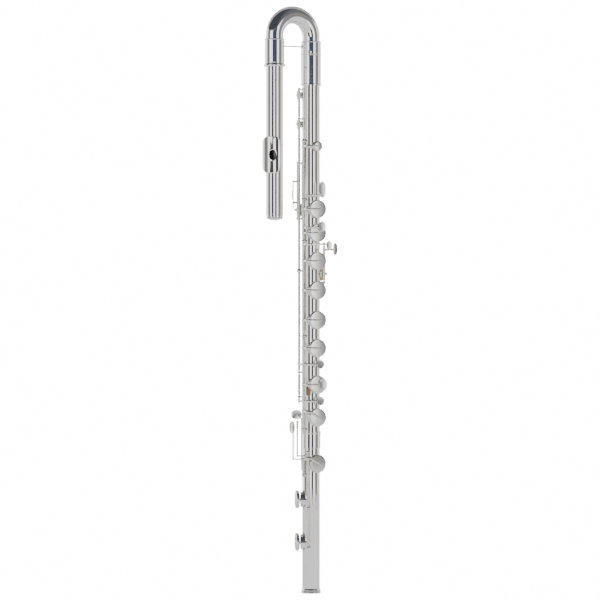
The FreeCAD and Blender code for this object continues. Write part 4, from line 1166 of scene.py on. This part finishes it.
# %% [markdown]
# ## Ribs, posts and steels
# Each row of posts stands on a thin rib soldered along the tube. A post is turned: a flared
# foot, a waisted stem and a ball, which the hinge line goes through. Copies of one post
# would do for the shape, but the hinge lines stand at different distances from the tube, so
# each post is turned anew with its own length. The heights are those of the posts of the
# CAD model, from the joint's end.

# %% Ribs and posts
BALL = 2.9
MAIN_POSTS = [up_body(d) for d in (28.7, 186.7, 348.2, 418.7, 518.2)]
TRILL_POSTS = [up_body(d) for d in (83.7, 125.4, 555.7, 605.7)]
RING_POST = up_body(297.7)
THUMB_POSTS = [up_body(d) for d in (386.7, 480.7)]
SIDE_POSTS = [up_body(d) for d in (278.2, 343.2)]
FOOT_LONG_POSTS = [down_foot(d) for d in (171.0, 103.5, 9.0)]
FOOT_SHORT_POSTS = [down_foot(d) for d in (48.0, 21.0)]


def post_grid(rod, height, seat, ball=BALL):
    """Turned post standing out of the tube, from its foot to the top of its ball."""
    swell = np.linspace(-math.pi / 2 + 0.52, math.pi / 2, 15)
    outline = [(ON_AXIS, seat - 0.5), (2.5, seat - 0.5), (2.5, seat + 0.15), (2.0, seat + 0.6),
               (1.5, seat + 1.1), (1.35, seat + 1.9), (1.4, rod.distance - ball * 0.95)]
    outline += [(ball * math.cos(a), rod.distance + ball * math.sin(a)) for a in swell]
    outline[-1] = (ON_AXIS, rod.distance + ball)
    return stand(rod.angle, height)(lathe_grid(outline, 28))


def round_the_tube(bearing, radius, height):
    """Points at bearings in radians, radii and heights round the body's axis."""
    return np.stack([-np.sin(bearing) * radius, -np.cos(bearing) * radius, height], axis=-1)


def rib_grid(rod, low, high):
    """Strip along the tube: section in angle and radius, with sloping ends."""
    half = np.radians([6.0, 6.0, 5.2, 0.0, -5.2, -6.0, -6.0, 0.0])
    rise = np.array([-0.1, 0.7, 1.0, 1.0, 1.0, 0.7, -0.1, -0.1])
    heights = np.array([low, low + 1.2, high - 1.2, high])
    lift = np.array([0.25, 1.0, 1.0, 0.25])
    bearing = math.radians(rod.angle) + half
    radius = TUBE_RADIUS + rise[None, :] * np.where(rise > 0, lift[:, None], 1.0)
    return round_the_tube(bearing, radius, np.repeat(heights[:, None], len(half), axis=1))


# %% All the posts and ribs
RIB_HEIGHT, RIB_END, RING_BALL = 1.0, 3.5, 4.1
ROWS = ((MAIN_ROD, MAIN_POSTS), (TRILL_ROD, TRILL_POSTS), (THUMB_ROD, THUMB_POSTS))
posts, ribs = Parts(), Parts()
for rod, heights in ROWS:
    ribs.grid(rib_grid(rod, heights[0] - RIB_END, heights[-1] + RIB_END), caps=True)
    for height in heights:
        posts.grid(post_grid(rod, height, TUBE_RADIUS + RIB_HEIGHT), caps=True)
posts.grid(post_grid(TRILL_ROD, RING_POST, TUBE_RADIUS + RIB_HEIGHT, RING_BALL), caps=True)
for height in SIDE_POSTS:
    posts.grid(post_grid(SIDE_ROD, height, TUBE_RADIUS), caps=True)
dress(posts.moved(to_metres).piece("body_posts_skin"), "body", "tube_silver", "body_posts")
dress(ribs.moved(to_metres).piece("body_ribs_skin"), "body", "tube_silver", "body_ribs")
posts = Parts()
for rod, heights in ((FOOT_LONG_ROD, FOOT_LONG_POSTS), (FOOT_SHORT_ROD, FOOT_SHORT_POSTS)):
    for height in heights:
        posts.grid(post_grid(rod, height, TUBE_RADIUS), caps=True)
dress(posts.moved(to_metres).piece("foot_posts_skin"), "foot", "tube_silver", "foot_posts")
print("posts", sum(map(len, (MAIN_POSTS, TRILL_POSTS, THUMB_POSTS, SIDE_POSTS, FOOT_LONG_POSTS,
                             FOOT_SHORT_POSTS))) + 1)

# %% [markdown]
# ## Steels
# The keys of a row turn on one long steel, which is threaded into the last post. Only its
# ends show, so it is a plain turned rod with a chamfer. The trill and the long foot rows
# have no steel of their own: there one of the keys is pinned to it, and it turns with that
# key.

# %% Steels
STEEL, STEEL_END = 1.1, 0.5


def steel_grid(rod, low, high):
    """Pivot steel with a chamfer at each end."""
    outline = [(ON_AXIS, low), (0.7, low), (STEEL, low + 0.35), (STEEL, high - 0.35),
               (0.7, high), (ON_AXIS, high)]
    return shift(*rod.point)(lathe_grid(outline, 20))


def through_posts(heights):
    """Ends of a steel that stands a little out of the first and the last post of a row."""
    return heights[0] - BALL - STEEL_END, heights[-1] + BALL + STEEL_END


steels = Parts()
for rod, heights in ((MAIN_ROD, MAIN_POSTS), (THUMB_ROD, THUMB_POSTS), (SIDE_ROD, SIDE_POSTS)):
    steels.grid(steel_grid(rod, *through_posts(heights)), caps=True)
dress(steels.moved(to_metres).piece("body_steels_skin"), "body", "blued_steel", "body_steels")
steels = Parts().grid(steel_grid(FOOT_SHORT_ROD, *through_posts(FOOT_SHORT_POSTS)), caps=True)
dress(steels.moved(to_metres).piece("foot_steel_skin"), "foot", "blued_steel", "foot_steel")
print("steels through", round(MAIN_POSTS[-1] - MAIN_POSTS[0], 1), "mm of main posts")

# %% [markdown]
# ## Keys
# A key is one brazed piece of silver: a hinge tube with a small collar at each arm, a
# pointed arm that crosses the top of a turned cup, and for some a finger plate. Most of a
# flute's keys stand open until a finger shuts them. Drawing them open would mean slanted
# cups over level holes, so every key is drawn closed and then turned about its own hinge
# line by the lift of its joint.

# %% Closed and open
OPEN_AT_REST = {"d", "e", "f", "f_sharp", "g", "a", "b_flat", "c", "thumb_b", "c_sharp", "low_c"}


def joint_range(name):
    """Range of a hinge in radians, from the frame's joint."""
    low, high = joints[name]["range_deg"]
    return math.radians(low), math.radians(high)


def rest_turn(key):
    """Angle in radians from the closed place to the rest place: minus the joint's closed end."""
    if key not in OPEN_AT_REST:
        return 0.0
    low, high = joint_range(key + "_press")
    return -(low if abs(low) > abs(high) else high)


def turned_about(rod, angle):
    """Function that turns points about a rod."""
    c, s = math.cos(angle), math.sin(angle)
    matrix = np.array([[c, s, 0.0], [-s, c, 0.0], [0.0, 0.0, 1.0]])
    centre = np.append(rod.point, 0.0)
    return lambda points: (points - centre) @ matrix + centre


print("open keys", len(OPEN_AT_REST))

# %% [markdown]
# ## Hinge tubes, cups and pads
# A hinge tube is a ring with thick walls, a cup is a spun bowl and a pad is a felt disc in
# skin. A cylinder for each would be quicker, but the beaded rim, the rounded shoulder and
# the low dome of a cup are what a mirror finish shows, so each is a turned profile. Cup and
# pad have the same centre and face as their tone hole.

# %% Hinge tubes, cups and pads
HINGE, BORE = 2.3, 1.15
END_PLAY = 0.1
COLLAR_HALF, COLLAR_RISE = 2.6, 0.3
PAD_FACE = CHIMNEY_SEAT + SEAT_GAP
CUP_RIM = PAD_FACE + 1.3
CUP_TOP = CUP_RIM + 4.5


def upright_grid(rod, outline, around=36):
    """Turned ring on a hinge line."""
    return shift(*rod.point)(closed_ring(outline, 0.15, around))


def hinge_grids(rod, low, high, collars):
    """Hinge tube with a fine groove near each end, and a collar at each arm."""
    low, high = low + END_PLAY, high - END_PLAY
    tube = [(BORE, low), (HINGE, low), (HINGE, low + 1.3), (HINGE - 0.18, low + 1.5),
            (HINGE, low + 1.7), (HINGE, high - 1.7), (HINGE - 0.18, high - 1.5),
            (HINGE, high - 1.3), (HINGE, high), (BORE, high)]
    grids = [upright_grid(rod, tube)]
    for height in (place for place in collars if low < place < high):
        bottom = max(height - COLLAR_HALF, low + END_PLAY)
        top = min(height + COLLAR_HALF, high - END_PLAY)
        grids.append(upright_grid(rod, wall(HINGE + COLLAR_RISE, HINGE - COLLAR_RISE,
                                            bottom, top)))
    return grids


def cup_grid(hole, around=72):
    """Turned cup: beaded rim, upright wall, rounded shoulder and a low dome, hollow underneath."""
    r = hole.cup
    dome = [(r * share, CUP_TOP + 0.25 - 0.55 * share ** 2)
            for share in np.linspace(0.78, 0.02, 12)]
    shoulder = [(r - 1.5 + 1.5 * math.cos(a), CUP_TOP - 1.75 + 1.5 * math.sin(a))
                for a in np.linspace(0.0, 1.25, 7)]
    outline = [(r - 0.8, CUP_RIM), (r, CUP_RIM), (r, CUP_RIM + 0.9), (r - 0.2, CUP_RIM + 1.1)]
    outline += [(r - 0.2, CUP_RIM + 1.5)] + shoulder[1:] + dome
    outline += [(ON_AXIS, PAD_FACE + 3.05), (r - 0.8, PAD_FACE + 3.05)]
    return stand(hole.angle, hole.height)(lathe_grid(outline, around))


def pad_grid(hole, around=64):
    """Pad: a disc whose skin is drawn tight over a rounded edge, with a faint seat ring in it."""
    r = hole.cup - 0.92
    low, high = PAD_FACE, PAD_FACE + 2.95
    outline = [(ON_AXIS, low), (hole.radius - 0.5, low), (hole.radius + 0.2, low + 0.08),
               (hole.radius + 0.9, low)]
    outline += [(r - 0.7 + 0.7 * math.sin(a), low + 0.7 - 0.7 * math.cos(a))
                for a in np.linspace(0.0, math.pi / 2, 6)]
    outline += [(r, high - 0.2), (r - 0.2, high), (ON_AXIS, high)]
    return stand(hole.angle, hole.height)(lathe_grid(outline, around))


print("cup top", round(CUP_TOP, 2), "from the axis")

# %% [markdown]
# ## Arms and touches
# An arm is brazed into the wall of its hinge tube, clear of the steel inside, rises over
# the shoulder of the cup and runs out to a point. A touch is the plate that a finger rests
# on, at the end of a lever that passes round the other hinge tubes. Extruded outlines would
# give both sharp edges all over, so the arms are swept and the plates are superellipses
# with a rolled edge.

# %% Arms and touches
def side_axes(angle):
    """Plan vectors across (towards larger angles) and out of the tube at an angle."""
    bearing = math.radians(angle)
    return np.array([-math.cos(bearing), math.sin(bearing)]), polar(angle, 1.0)


def from_wall(centre, toward):
    """Point in the wall of a hinge tube, clear of its steel, on the way to another point."""
    step = np.asarray(toward, float) - centre
    return centre + step / np.linalg.norm(step) * (HINGE - 0.05)


def cup_arm_grid(rod, hole, slope=0.0):
    """Pointed arm from the hinge tube over a cup; slope tilts it across the cup's face."""
    bearing = math.radians(rod.angle - hole.angle)
    mirror = 1.0 if bearing > 0 else -1.0
    across = abs(rod.distance * math.sin(bearing))
    outward = rod.distance * math.cos(bearing)
    r = hole.cup
    shoulder = max(across, r + 3.0)
    reach = -0.45 if slope == 0.0 else -0.72
    pairs = [(across, outward), (shoulder, CUP_TOP - 2.5), (r - 0.6, CUP_TOP + 0.5),
             (0.2 * r, CUP_TOP + 0.6), (reach * r, CUP_TOP + 0.1)]
    side_axis, out_axis = side_axes(hole.angle)
    corners = []
    for u, v in pairs:
        plan = side_axis * (u * mirror) + out_axis * v
        corners.append([plan[0], plan[1], hole.height + slope * np.clip(u, -r, r)])
    corners[0][:2] = from_wall(rod.point, np.array(corners[1][:2]))
    path = smooth_path(corners, 2.2)
    share = np.linspace(0.0, 1.0, len(path))
    stations = [0.0, 0.3, 0.6, 1.0]
    width = np.interp(share, stations, [2.2, 2.1, 1.9, 0.4])
    thick = np.interp(share, stations, [1.2, 1.2, 1.3, 0.5])
    return sweep(path, thick, width, 16, 1.15)


def lever_grid(rod, route, height, width=2.0, end_width=None, thick=0.95):
    """Arm of a touch: from the hinge line along plan points at one height."""
    corners = [[*from_wall(rod.point, route[0]), height]] + [[*point, height] for point in route]
    path = smooth_path(corners, 3.2)
    share = np.linspace(0.0, 1.0, len(path))
    wide = width + ((end_width or width * 0.8) - width) * share
    return sweep(path, thick - 0.2 * share, wide, 16, 0.8)


def leaf_grid(point, height, facing, half_width, half_height, dish=0.35, power=0.85):
    """Finger plate: a superellipse with a rolled edge, slightly hollow for the finger."""
    thick = 1.5
    cos_t, sin_t = squared_circle(np.linspace(0.0, 2 * math.pi, 56, endpoint=False), power)
    profile = [(0.01, thick - dish), (0.35, thick - 0.88 * dish), (0.65, thick - 0.55 * dish),
               (0.85, thick - 0.15 * dish), (0.94, thick), (0.985, thick - 0.2),
               (1.0, thick * 0.55), (0.975, 0.15), (0.9, 0.0), (0.01, 0.0)]
    share, level = np.array(profile).T[:, :, None]
    level = np.repeat(level, len(cos_t), axis=1)
    grid = np.stack([share * half_width * cos_t, share * half_height * sin_t, level], axis=-1)
    return stand(facing, height, point)(grid)


# %% [markdown]
# ## Building a key
# All sixteen keys are put together in the same way, so one function does it and each key
# below is only its own numbers: where its tube begins and ends, which cups it carries and
# where its touch is. The pads ride on the same body as their key, as a piece of their own
# with their own skin.

# %% Key builder
def build_key(key, rod, spans, holes=(), slopes=(), extras=(), collars=(), pinned=()):
    """One key and its pads: spans are hinge tube ends, pinned the ends of a solid steel."""
    node = key + ("_lever" if key == "thumb_b_flat" else "_key")
    parts = Parts()
    slopes = list(slopes) + [0.0] * (len(holes) - len(slopes))
    arm_heights = [hole.height + slope * hole.cup for hole, slope in zip(holes, slopes)]
    for low, high in spans:
        for grid in hinge_grids(rod, low, high, arm_heights + list(collars)):
            parts.grid(grid, wrap_rows=True)
    for low, high in pinned:
        parts.grid(steel_grid(rod, low, high), caps=True)
    for hole, slope in zip(holes, slopes):
        parts.grid(cup_grid(hole), caps=True)
        parts.grid(cup_arm_grid(rod, hole, slope), caps=True)
    for grid in extras:
        parts.grid(grid, caps=True)
    turn_it = turned_about(rod, rest_turn(key))
    dress(parts.moved(turn_it).moved(to_metres).piece(node + "_skin"), node, "key_silver", node)
    if holes:
        pads = Parts()
        for hole in holes:
            pads.grid(pad_grid(hole), caps=True)
        dress(pads.moved(turn_it).moved(to_metres).piece(key + "_pad_skin"), node, "pad_skin",
              key + "_pad")
    print(node, "cups", len(holes))


def above(post):
    """Lowest place for a hinge tube over a post."""
    return post + BALL + END_PLAY


def below(post):
    """Highest place for a hinge tube under a post."""
    return post - BALL - END_PLAY


# %% [markdown]
# ## The main row
# The right hand works D, E, F and F sharp, the left hand G, A, B flat and C. Neighbours
# share one steel, and a cut such as D_E is where one tube ends and the next begins. F sharp
# and B flat have no touch, because a finger on the next key shuts them too.

# %% Places of cuts and touches
D_E, E_F, FS_G = up_body(79.7), up_body(134.7), up_body(236.7)
A_BF, THUMB_SPLIT = up_body(380.7), up_body(439.7)
OVER_CUPS = [near(44.6, 14.3), near(30.7, 14.2)]
ON_CUPS = near(-13.0, 11.2)
ROUND_HINGES = [near(77.3, 12.0), near(51.3, 16.8), near(33.2, 15.9)]
TRILL_TOUCH = near(-4.0, 10.8)
DIAGONAL = 0.62

# %% Keys of the main row
build_key("d", MAIN_ROD, [(above(MAIN_POSTS[0]), D_E)], [HOLES["d"]], [DIAGONAL])
build_key("e", MAIN_ROD, [(D_E, E_F)], [HOLES["e"]],
          extras=[leaf_grid(near(-16.8, 11.1), HOLES["e"].height, 0, 7.7, 10.2)])
build_key("f", MAIN_ROD, [(E_F, below(MAIN_POSTS[1]))], [HOLES["f"]])
build_key("f_sharp", MAIN_ROD, [(above(MAIN_POSTS[1]), FS_G)], [HOLES["f_sharp"]])
build_key("g", MAIN_ROD, [(FS_G, below(MAIN_POSTS[2]))], [HOLES["g_low"], HOLES["g_high"]],
          extras=[lever_grid(MAIN_ROD, OVER_CUPS + [near(-6.3, 12.0), near(-29.5, 19.3)],
                             up_body(342.7), 1.8),
                  leaf_grid(near(-29.5, 19.3), up_body(340.7), 2, 5.2, 7.8)],
          collars=[up_body(342.7)])
build_key("a", MAIN_ROD, [(above(MAIN_POSTS[2]), A_BF)], [HOLES["a"]],
          extras=[lever_grid(MAIN_ROD, OVER_CUPS + [ON_CUPS], up_body(370.7)),
                  leaf_grid(ON_CUPS, up_body(372.7), 0, 6.6, 8.8)], collars=[up_body(370.7)])
build_key("b_flat", MAIN_ROD, [(A_BF, below(MAIN_POSTS[3]))], [HOLES["b_flat"]])
build_key("c", MAIN_ROD, [(above(MAIN_POSTS[3]), below(MAIN_POSTS[4]))], [HOLES["c"]],
          extras=[lever_grid(MAIN_ROD, OVER_CUPS + [ON_CUPS], up_body(425.2)),
                  leaf_grid(ON_CUPS, up_body(435.2), 0, 6.6, 14.0)], collars=[up_body(425.2)])

# %% [markdown]
# ## G sharp and the thumb keys
# G sharp has a hinge line of its own on the other side of the cups, because it is shut at
# rest and its little-finger plate opens it. The thumb keys are behind the tube.

# %% G sharp and thumb keys
build_key("g_sharp", SIDE_ROD, [(above(SIDE_POSTS[0]), below(SIDE_POSTS[1]))],
          [HOLES["g_sharp"]],
          extras=[lever_grid(SIDE_ROD, [near(-45.0, 18.7), near(-39.3, 27.4)], up_body(333.7)),
                  leaf_grid(near(-39.3, 27.4), up_body(334.7), -8, 4.8, 10.6)],
          collars=[up_body(333.7)])
build_key("thumb_b", THUMB_ROD, [(above(THUMB_POSTS[0]), THUMB_SPLIT)], [HOLES["thumb"]],
          extras=[lever_grid(THUMB_ROD, [near(122.2, 12.0), near(126.5, 15.9)], up_body(413.7)),
                  leaf_grid(near(126.0, 13.8), up_body(413.7), 126, 5.5, 10.5)],
          collars=[up_body(413.7)])
lever_end = near(108.4, 16.4)
build_key("thumb_b_flat", THUMB_ROD, [(THUMB_SPLIT, below(THUMB_POSTS[1]))],
          extras=[lever_grid(THUMB_ROD, [near(113.0, 12.5), lever_end], up_body(449.7)),
                  rod_grid([*lever_end, up_body(425.7)], [*lever_end, up_body(450.7)], 1.2),
                  leaf_grid(lever_end, up_body(426.7), 110, 3.8, 8.0)],
          collars=[up_body(449.7)])

# %% [markdown]
# ## Trill keys
# Both trill cups are high on the tube and their touches far below, between the right hand's
# fingers. The D trill has one long tube, and the D sharp trill is pinned to the steel
# inside it.

# %% Trill keys
D_TRILL_TOUCH, DS_TRILL_TOUCH = up_body(139.2), up_body(77.1)
build_key("d_trill", TRILL_ROD, [(above(TRILL_POSTS[1]), below(TRILL_POSTS[2]))],
          [HOLES["d_trill"]],
          extras=[lever_grid(TRILL_ROD, ROUND_HINGES + [TRILL_TOUCH], D_TRILL_TOUCH),
                  leaf_grid(TRILL_TOUCH, D_TRILL_TOUCH, 0, 7.6, 7.6, power=1.0)],
          collars=[D_TRILL_TOUCH])
sleeves = [(DS_TRILL_TOUCH - 3.0, below(TRILL_POSTS[0])),
           (above(TRILL_POSTS[0]), below(TRILL_POSTS[1])),
           (above(TRILL_POSTS[2]), below(TRILL_POSTS[3]))]
build_key("d_sharp_trill", TRILL_ROD, sleeves, [HOLES["d_sharp_trill"]],
          extras=[lever_grid(TRILL_ROD, ROUND_HINGES + [TRILL_TOUCH], DS_TRILL_TOUCH),
                  leaf_grid(TRILL_TOUCH, DS_TRILL_TOUCH, 0, 7.6, 7.6, power=1.0)],
          pinned=[(DS_TRILL_TOUCH - 5.0, TRILL_POSTS[-1] + BALL + 0.5)])

# %% [markdown]
# ## Foot keys
# The foot keys are worked by the little finger, so their touches stand well above their
# cups on long wires. The low C touch ends in a roller that turns on a pin, so that the
# finger can slide onto it. The roller is its own body and its own piece, with the barrel
# shape that a real one is turned to.

# %% D sharp of the foot
FOOT_SWEEP = [near(60.0, 14.8), near(80.8, 16.2)]
ds_stem, ds_leaf = near(88.5, 4.3), near(103.1, 10.9)
ds_arm, ds_neck = down_foot(37.5), down_foot(-52.5)
neck = smooth_path([[*ds_stem, ds_arm - 2.0], [*ds_stem, ds_neck - 4.0],
                    [*ds_leaf, ds_neck + 2.0]], 6.0)
build_key("foot_d_sharp", FOOT_SHORT_ROD,
          [(above(FOOT_SHORT_POSTS[0]), below(FOOT_SHORT_POSTS[1]))],
          [HOLES["foot_d_sharp"]], [DIAGONAL],
          extras=[lever_grid(FOOT_SHORT_ROD, [near(78.8, 5.4), ds_stem], ds_arm, 1.8),
                  sweep(neck, 1.15, np.linspace(1.2, 2.0, len(neck)), 16, 1.0),
                  leaf_grid(ds_leaf, ds_neck + 2.0, 45, 9.3, 8.0, 0.6)], collars=[ds_arm])

# %% C sharp of the foot
cs_stem = near(95.1, 18.4)
cs_top = below(FOOT_LONG_POSTS[2]) - 6.0
cs_arm, cs_leaf = cs_top - 2.5, down_foot(-33.5)
build_key("c_sharp", FOOT_LONG_ROD, [(above(FOOT_LONG_POSTS[1]), cs_top)], [HOLES["c_sharp"]],
          extras=[lever_grid(FOOT_LONG_ROD, FOOT_SWEEP + [cs_stem], cs_arm, 1.6),
                  rod_grid([*cs_stem, cs_arm - 1.0], [*cs_stem, cs_leaf + 1.0], 1.5),
                  leaf_grid(near(97.4, 19.1), cs_leaf, 65, 5.3, 10.5, 0.5)],
          collars=[cs_arm - 0.2])

# %% Low C
lc_stem = near(87.9, 12.3)
lc_arm = cs_top + 3.1
roller_low, roller_high = height_range("low_c_roller")
lc_sleeves = [(above(FOOT_LONG_POSTS[0]) + 0.5, below(FOOT_LONG_POSTS[1])),
              (cs_top + 0.8, below(FOOT_LONG_POSTS[2]) - 0.4)]
build_key("low_c", FOOT_LONG_ROD, lc_sleeves, [HOLES["low_c"]],
          extras=[lever_grid(FOOT_LONG_ROD, [near(59.7, 12.6), near(75.7, 13.2), lc_stem], lc_arm,
                             1.6),
                  rod_grid([*lc_stem, lc_arm - 1.0], [*lc_stem, roller_low - 1.5], 1.5),
                  rod_grid([*lc_stem, roller_low - 2.0], [*lc_stem, roller_high + 0.4], 0.78),
                  rod_grid([*lc_stem, roller_high + 0.5], [*lc_stem, roller_high + 0.9], 1.25)],
          pinned=[through_posts(FOOT_LONG_POSTS)])

# %% Roller
ROLLER = 2.1
barrel_line = np.linspace(-1.0, 1.0, 13)
roller_outline = [(0.85, roller_low)]
roller_outline += [(ROLLER - 0.35 * abs(x) ** 3, (roller_low + roller_high) / 2
                    + x * (roller_high - roller_low) / 2) for x in barrel_line]
roller_outline += [(0.85, roller_high)]
roller = Parts().grid(shift(*lc_stem)(closed_ring(roller_outline, 0.1, 36)), wrap_rows=True)
roller.moved(turned_about(FOOT_LONG_ROD, rest_turn("low_c"))).moved(to_metres)
dress(roller.piece("low_c_roller_skin"), "roller", "key_silver", "low_c_roller")
print("roller from", round(roller_low, 1), "to", round(roller_high, 1))

# %% [markdown]
# ## Needle springs
# A gold-coloured needle spring runs from a post under each hinge tube towards its key. The
# frame has no solids for them, because a joint's stiffness does their work, but without
# them the space under the tubes looks empty. Each is a short tapered sweep that rides on
# the tube's body.

# %% Needle springs
SPRING_RADIUS, SPRING_LEAN = 0.35, 1.5


def needle(rod, post, run):
    """Spring from inside a post's stem along the tube, bending a little towards its free end."""
    share = np.linspace(0.0, 1.0, 12)
    distance = rod.distance - 4.2 - 0.3 * share ** 2
    bearing = np.radians(rod.angle + SPRING_LEAN * share)
    path = round_the_tube(bearing, distance, post + run * share)
    radius = SPRING_RADIUS * (1.0 - 0.55 * share)
    return sweep(path, radius, radius, 10, 1.0)


springs = Parts()
for rod, post, run in ((MAIN_ROD, MAIN_POSTS[0], 34), (MAIN_ROD, MAIN_POSTS[1], -36),
                       (MAIN_ROD, MAIN_POSTS[1], 36), (MAIN_ROD, MAIN_POSTS[2], -38),
                       (MAIN_ROD, MAIN_POSTS[2], 32), (MAIN_ROD, MAIN_POSTS[3], -30),
                       (MAIN_ROD, MAIN_POSTS[4], -36), (TRILL_ROD, TRILL_POSTS[1], 34),
                       (TRILL_ROD, TRILL_POSTS[2], -34), (TRILL_ROD, TRILL_POSTS[3], -34),
                       (THUMB_ROD, THUMB_POSTS[0], 30), (THUMB_ROD, THUMB_POSTS[1], -30),
                       (SIDE_ROD, SIDE_POSTS[0], 28)):
    springs.grid(needle(rod, post, run), caps=True)
dress(springs.moved(to_metres).piece("body_springs"), "body", "screw_brass")
springs = Parts()
for rod, post, run in ((FOOT_LONG_ROD, FOOT_LONG_POSTS[0], 32),
                       (FOOT_LONG_ROD, FOOT_LONG_POSTS[1], 32),
                       (FOOT_SHORT_ROD, FOOT_SHORT_POSTS[1], -18)):
    springs.grid(needle(rod, post, run), caps=True)
dress(springs.moved(to_metres).piece("foot_springs"), "foot", "screw_brass")
print("spring radius", SPRING_RADIUS)

# %% [markdown]
# ## Cork bumper
# A strip of cork glued to the tube stops the long trill lever from ringing on it. A flat
# block would stand off a round tube at its ends, so the strip is wrapped: its width is an
# angle.

# %% Cork bumper
BUMPER_ANGLE, BUMPER_THICK, BUMPER_HALF_WIDTH = 50.0, 0.8, 4.2
BUMPER_SQUARENESS = 0.45
bumper_low, bumper_high = 336.5, 351.5


def bumper_grid():
    """Superellipse patch wrapped on the tube: rows go from its edge in over the top."""
    cos_t, sin_t = squared_circle(np.linspace(0.0, 2 * math.pi, 48, endpoint=False),
                                  BUMPER_SQUARENESS)
    rows = [(1.0, -0.1), (1.0, 0.45), (0.97, 0.68), (0.9, BUMPER_THICK), (0.5, BUMPER_THICK),
            (0.02, BUMPER_THICK)]
    half_turn = BUMPER_HALF_WIDTH / TUBE_RADIUS
    half_height = (bumper_high - bumper_low) / 2
    grid = []
    for share, rise in rows:
        bearing = math.radians(BUMPER_ANGLE) + half_turn * share * cos_t
        grid.append(round_the_tube(bearing, TUBE_RADIUS + rise,
                                   bumper_low + half_height * (1.0 + share * sin_t)))
    return np.array(grid)


bumper = Parts().grid(bumper_grid(), caps=True).moved(to_metres)
dress(bumper.piece("trill_bumper"), "body", "cork")
print("bumper", bumper_high - bumper_low, "mm long")
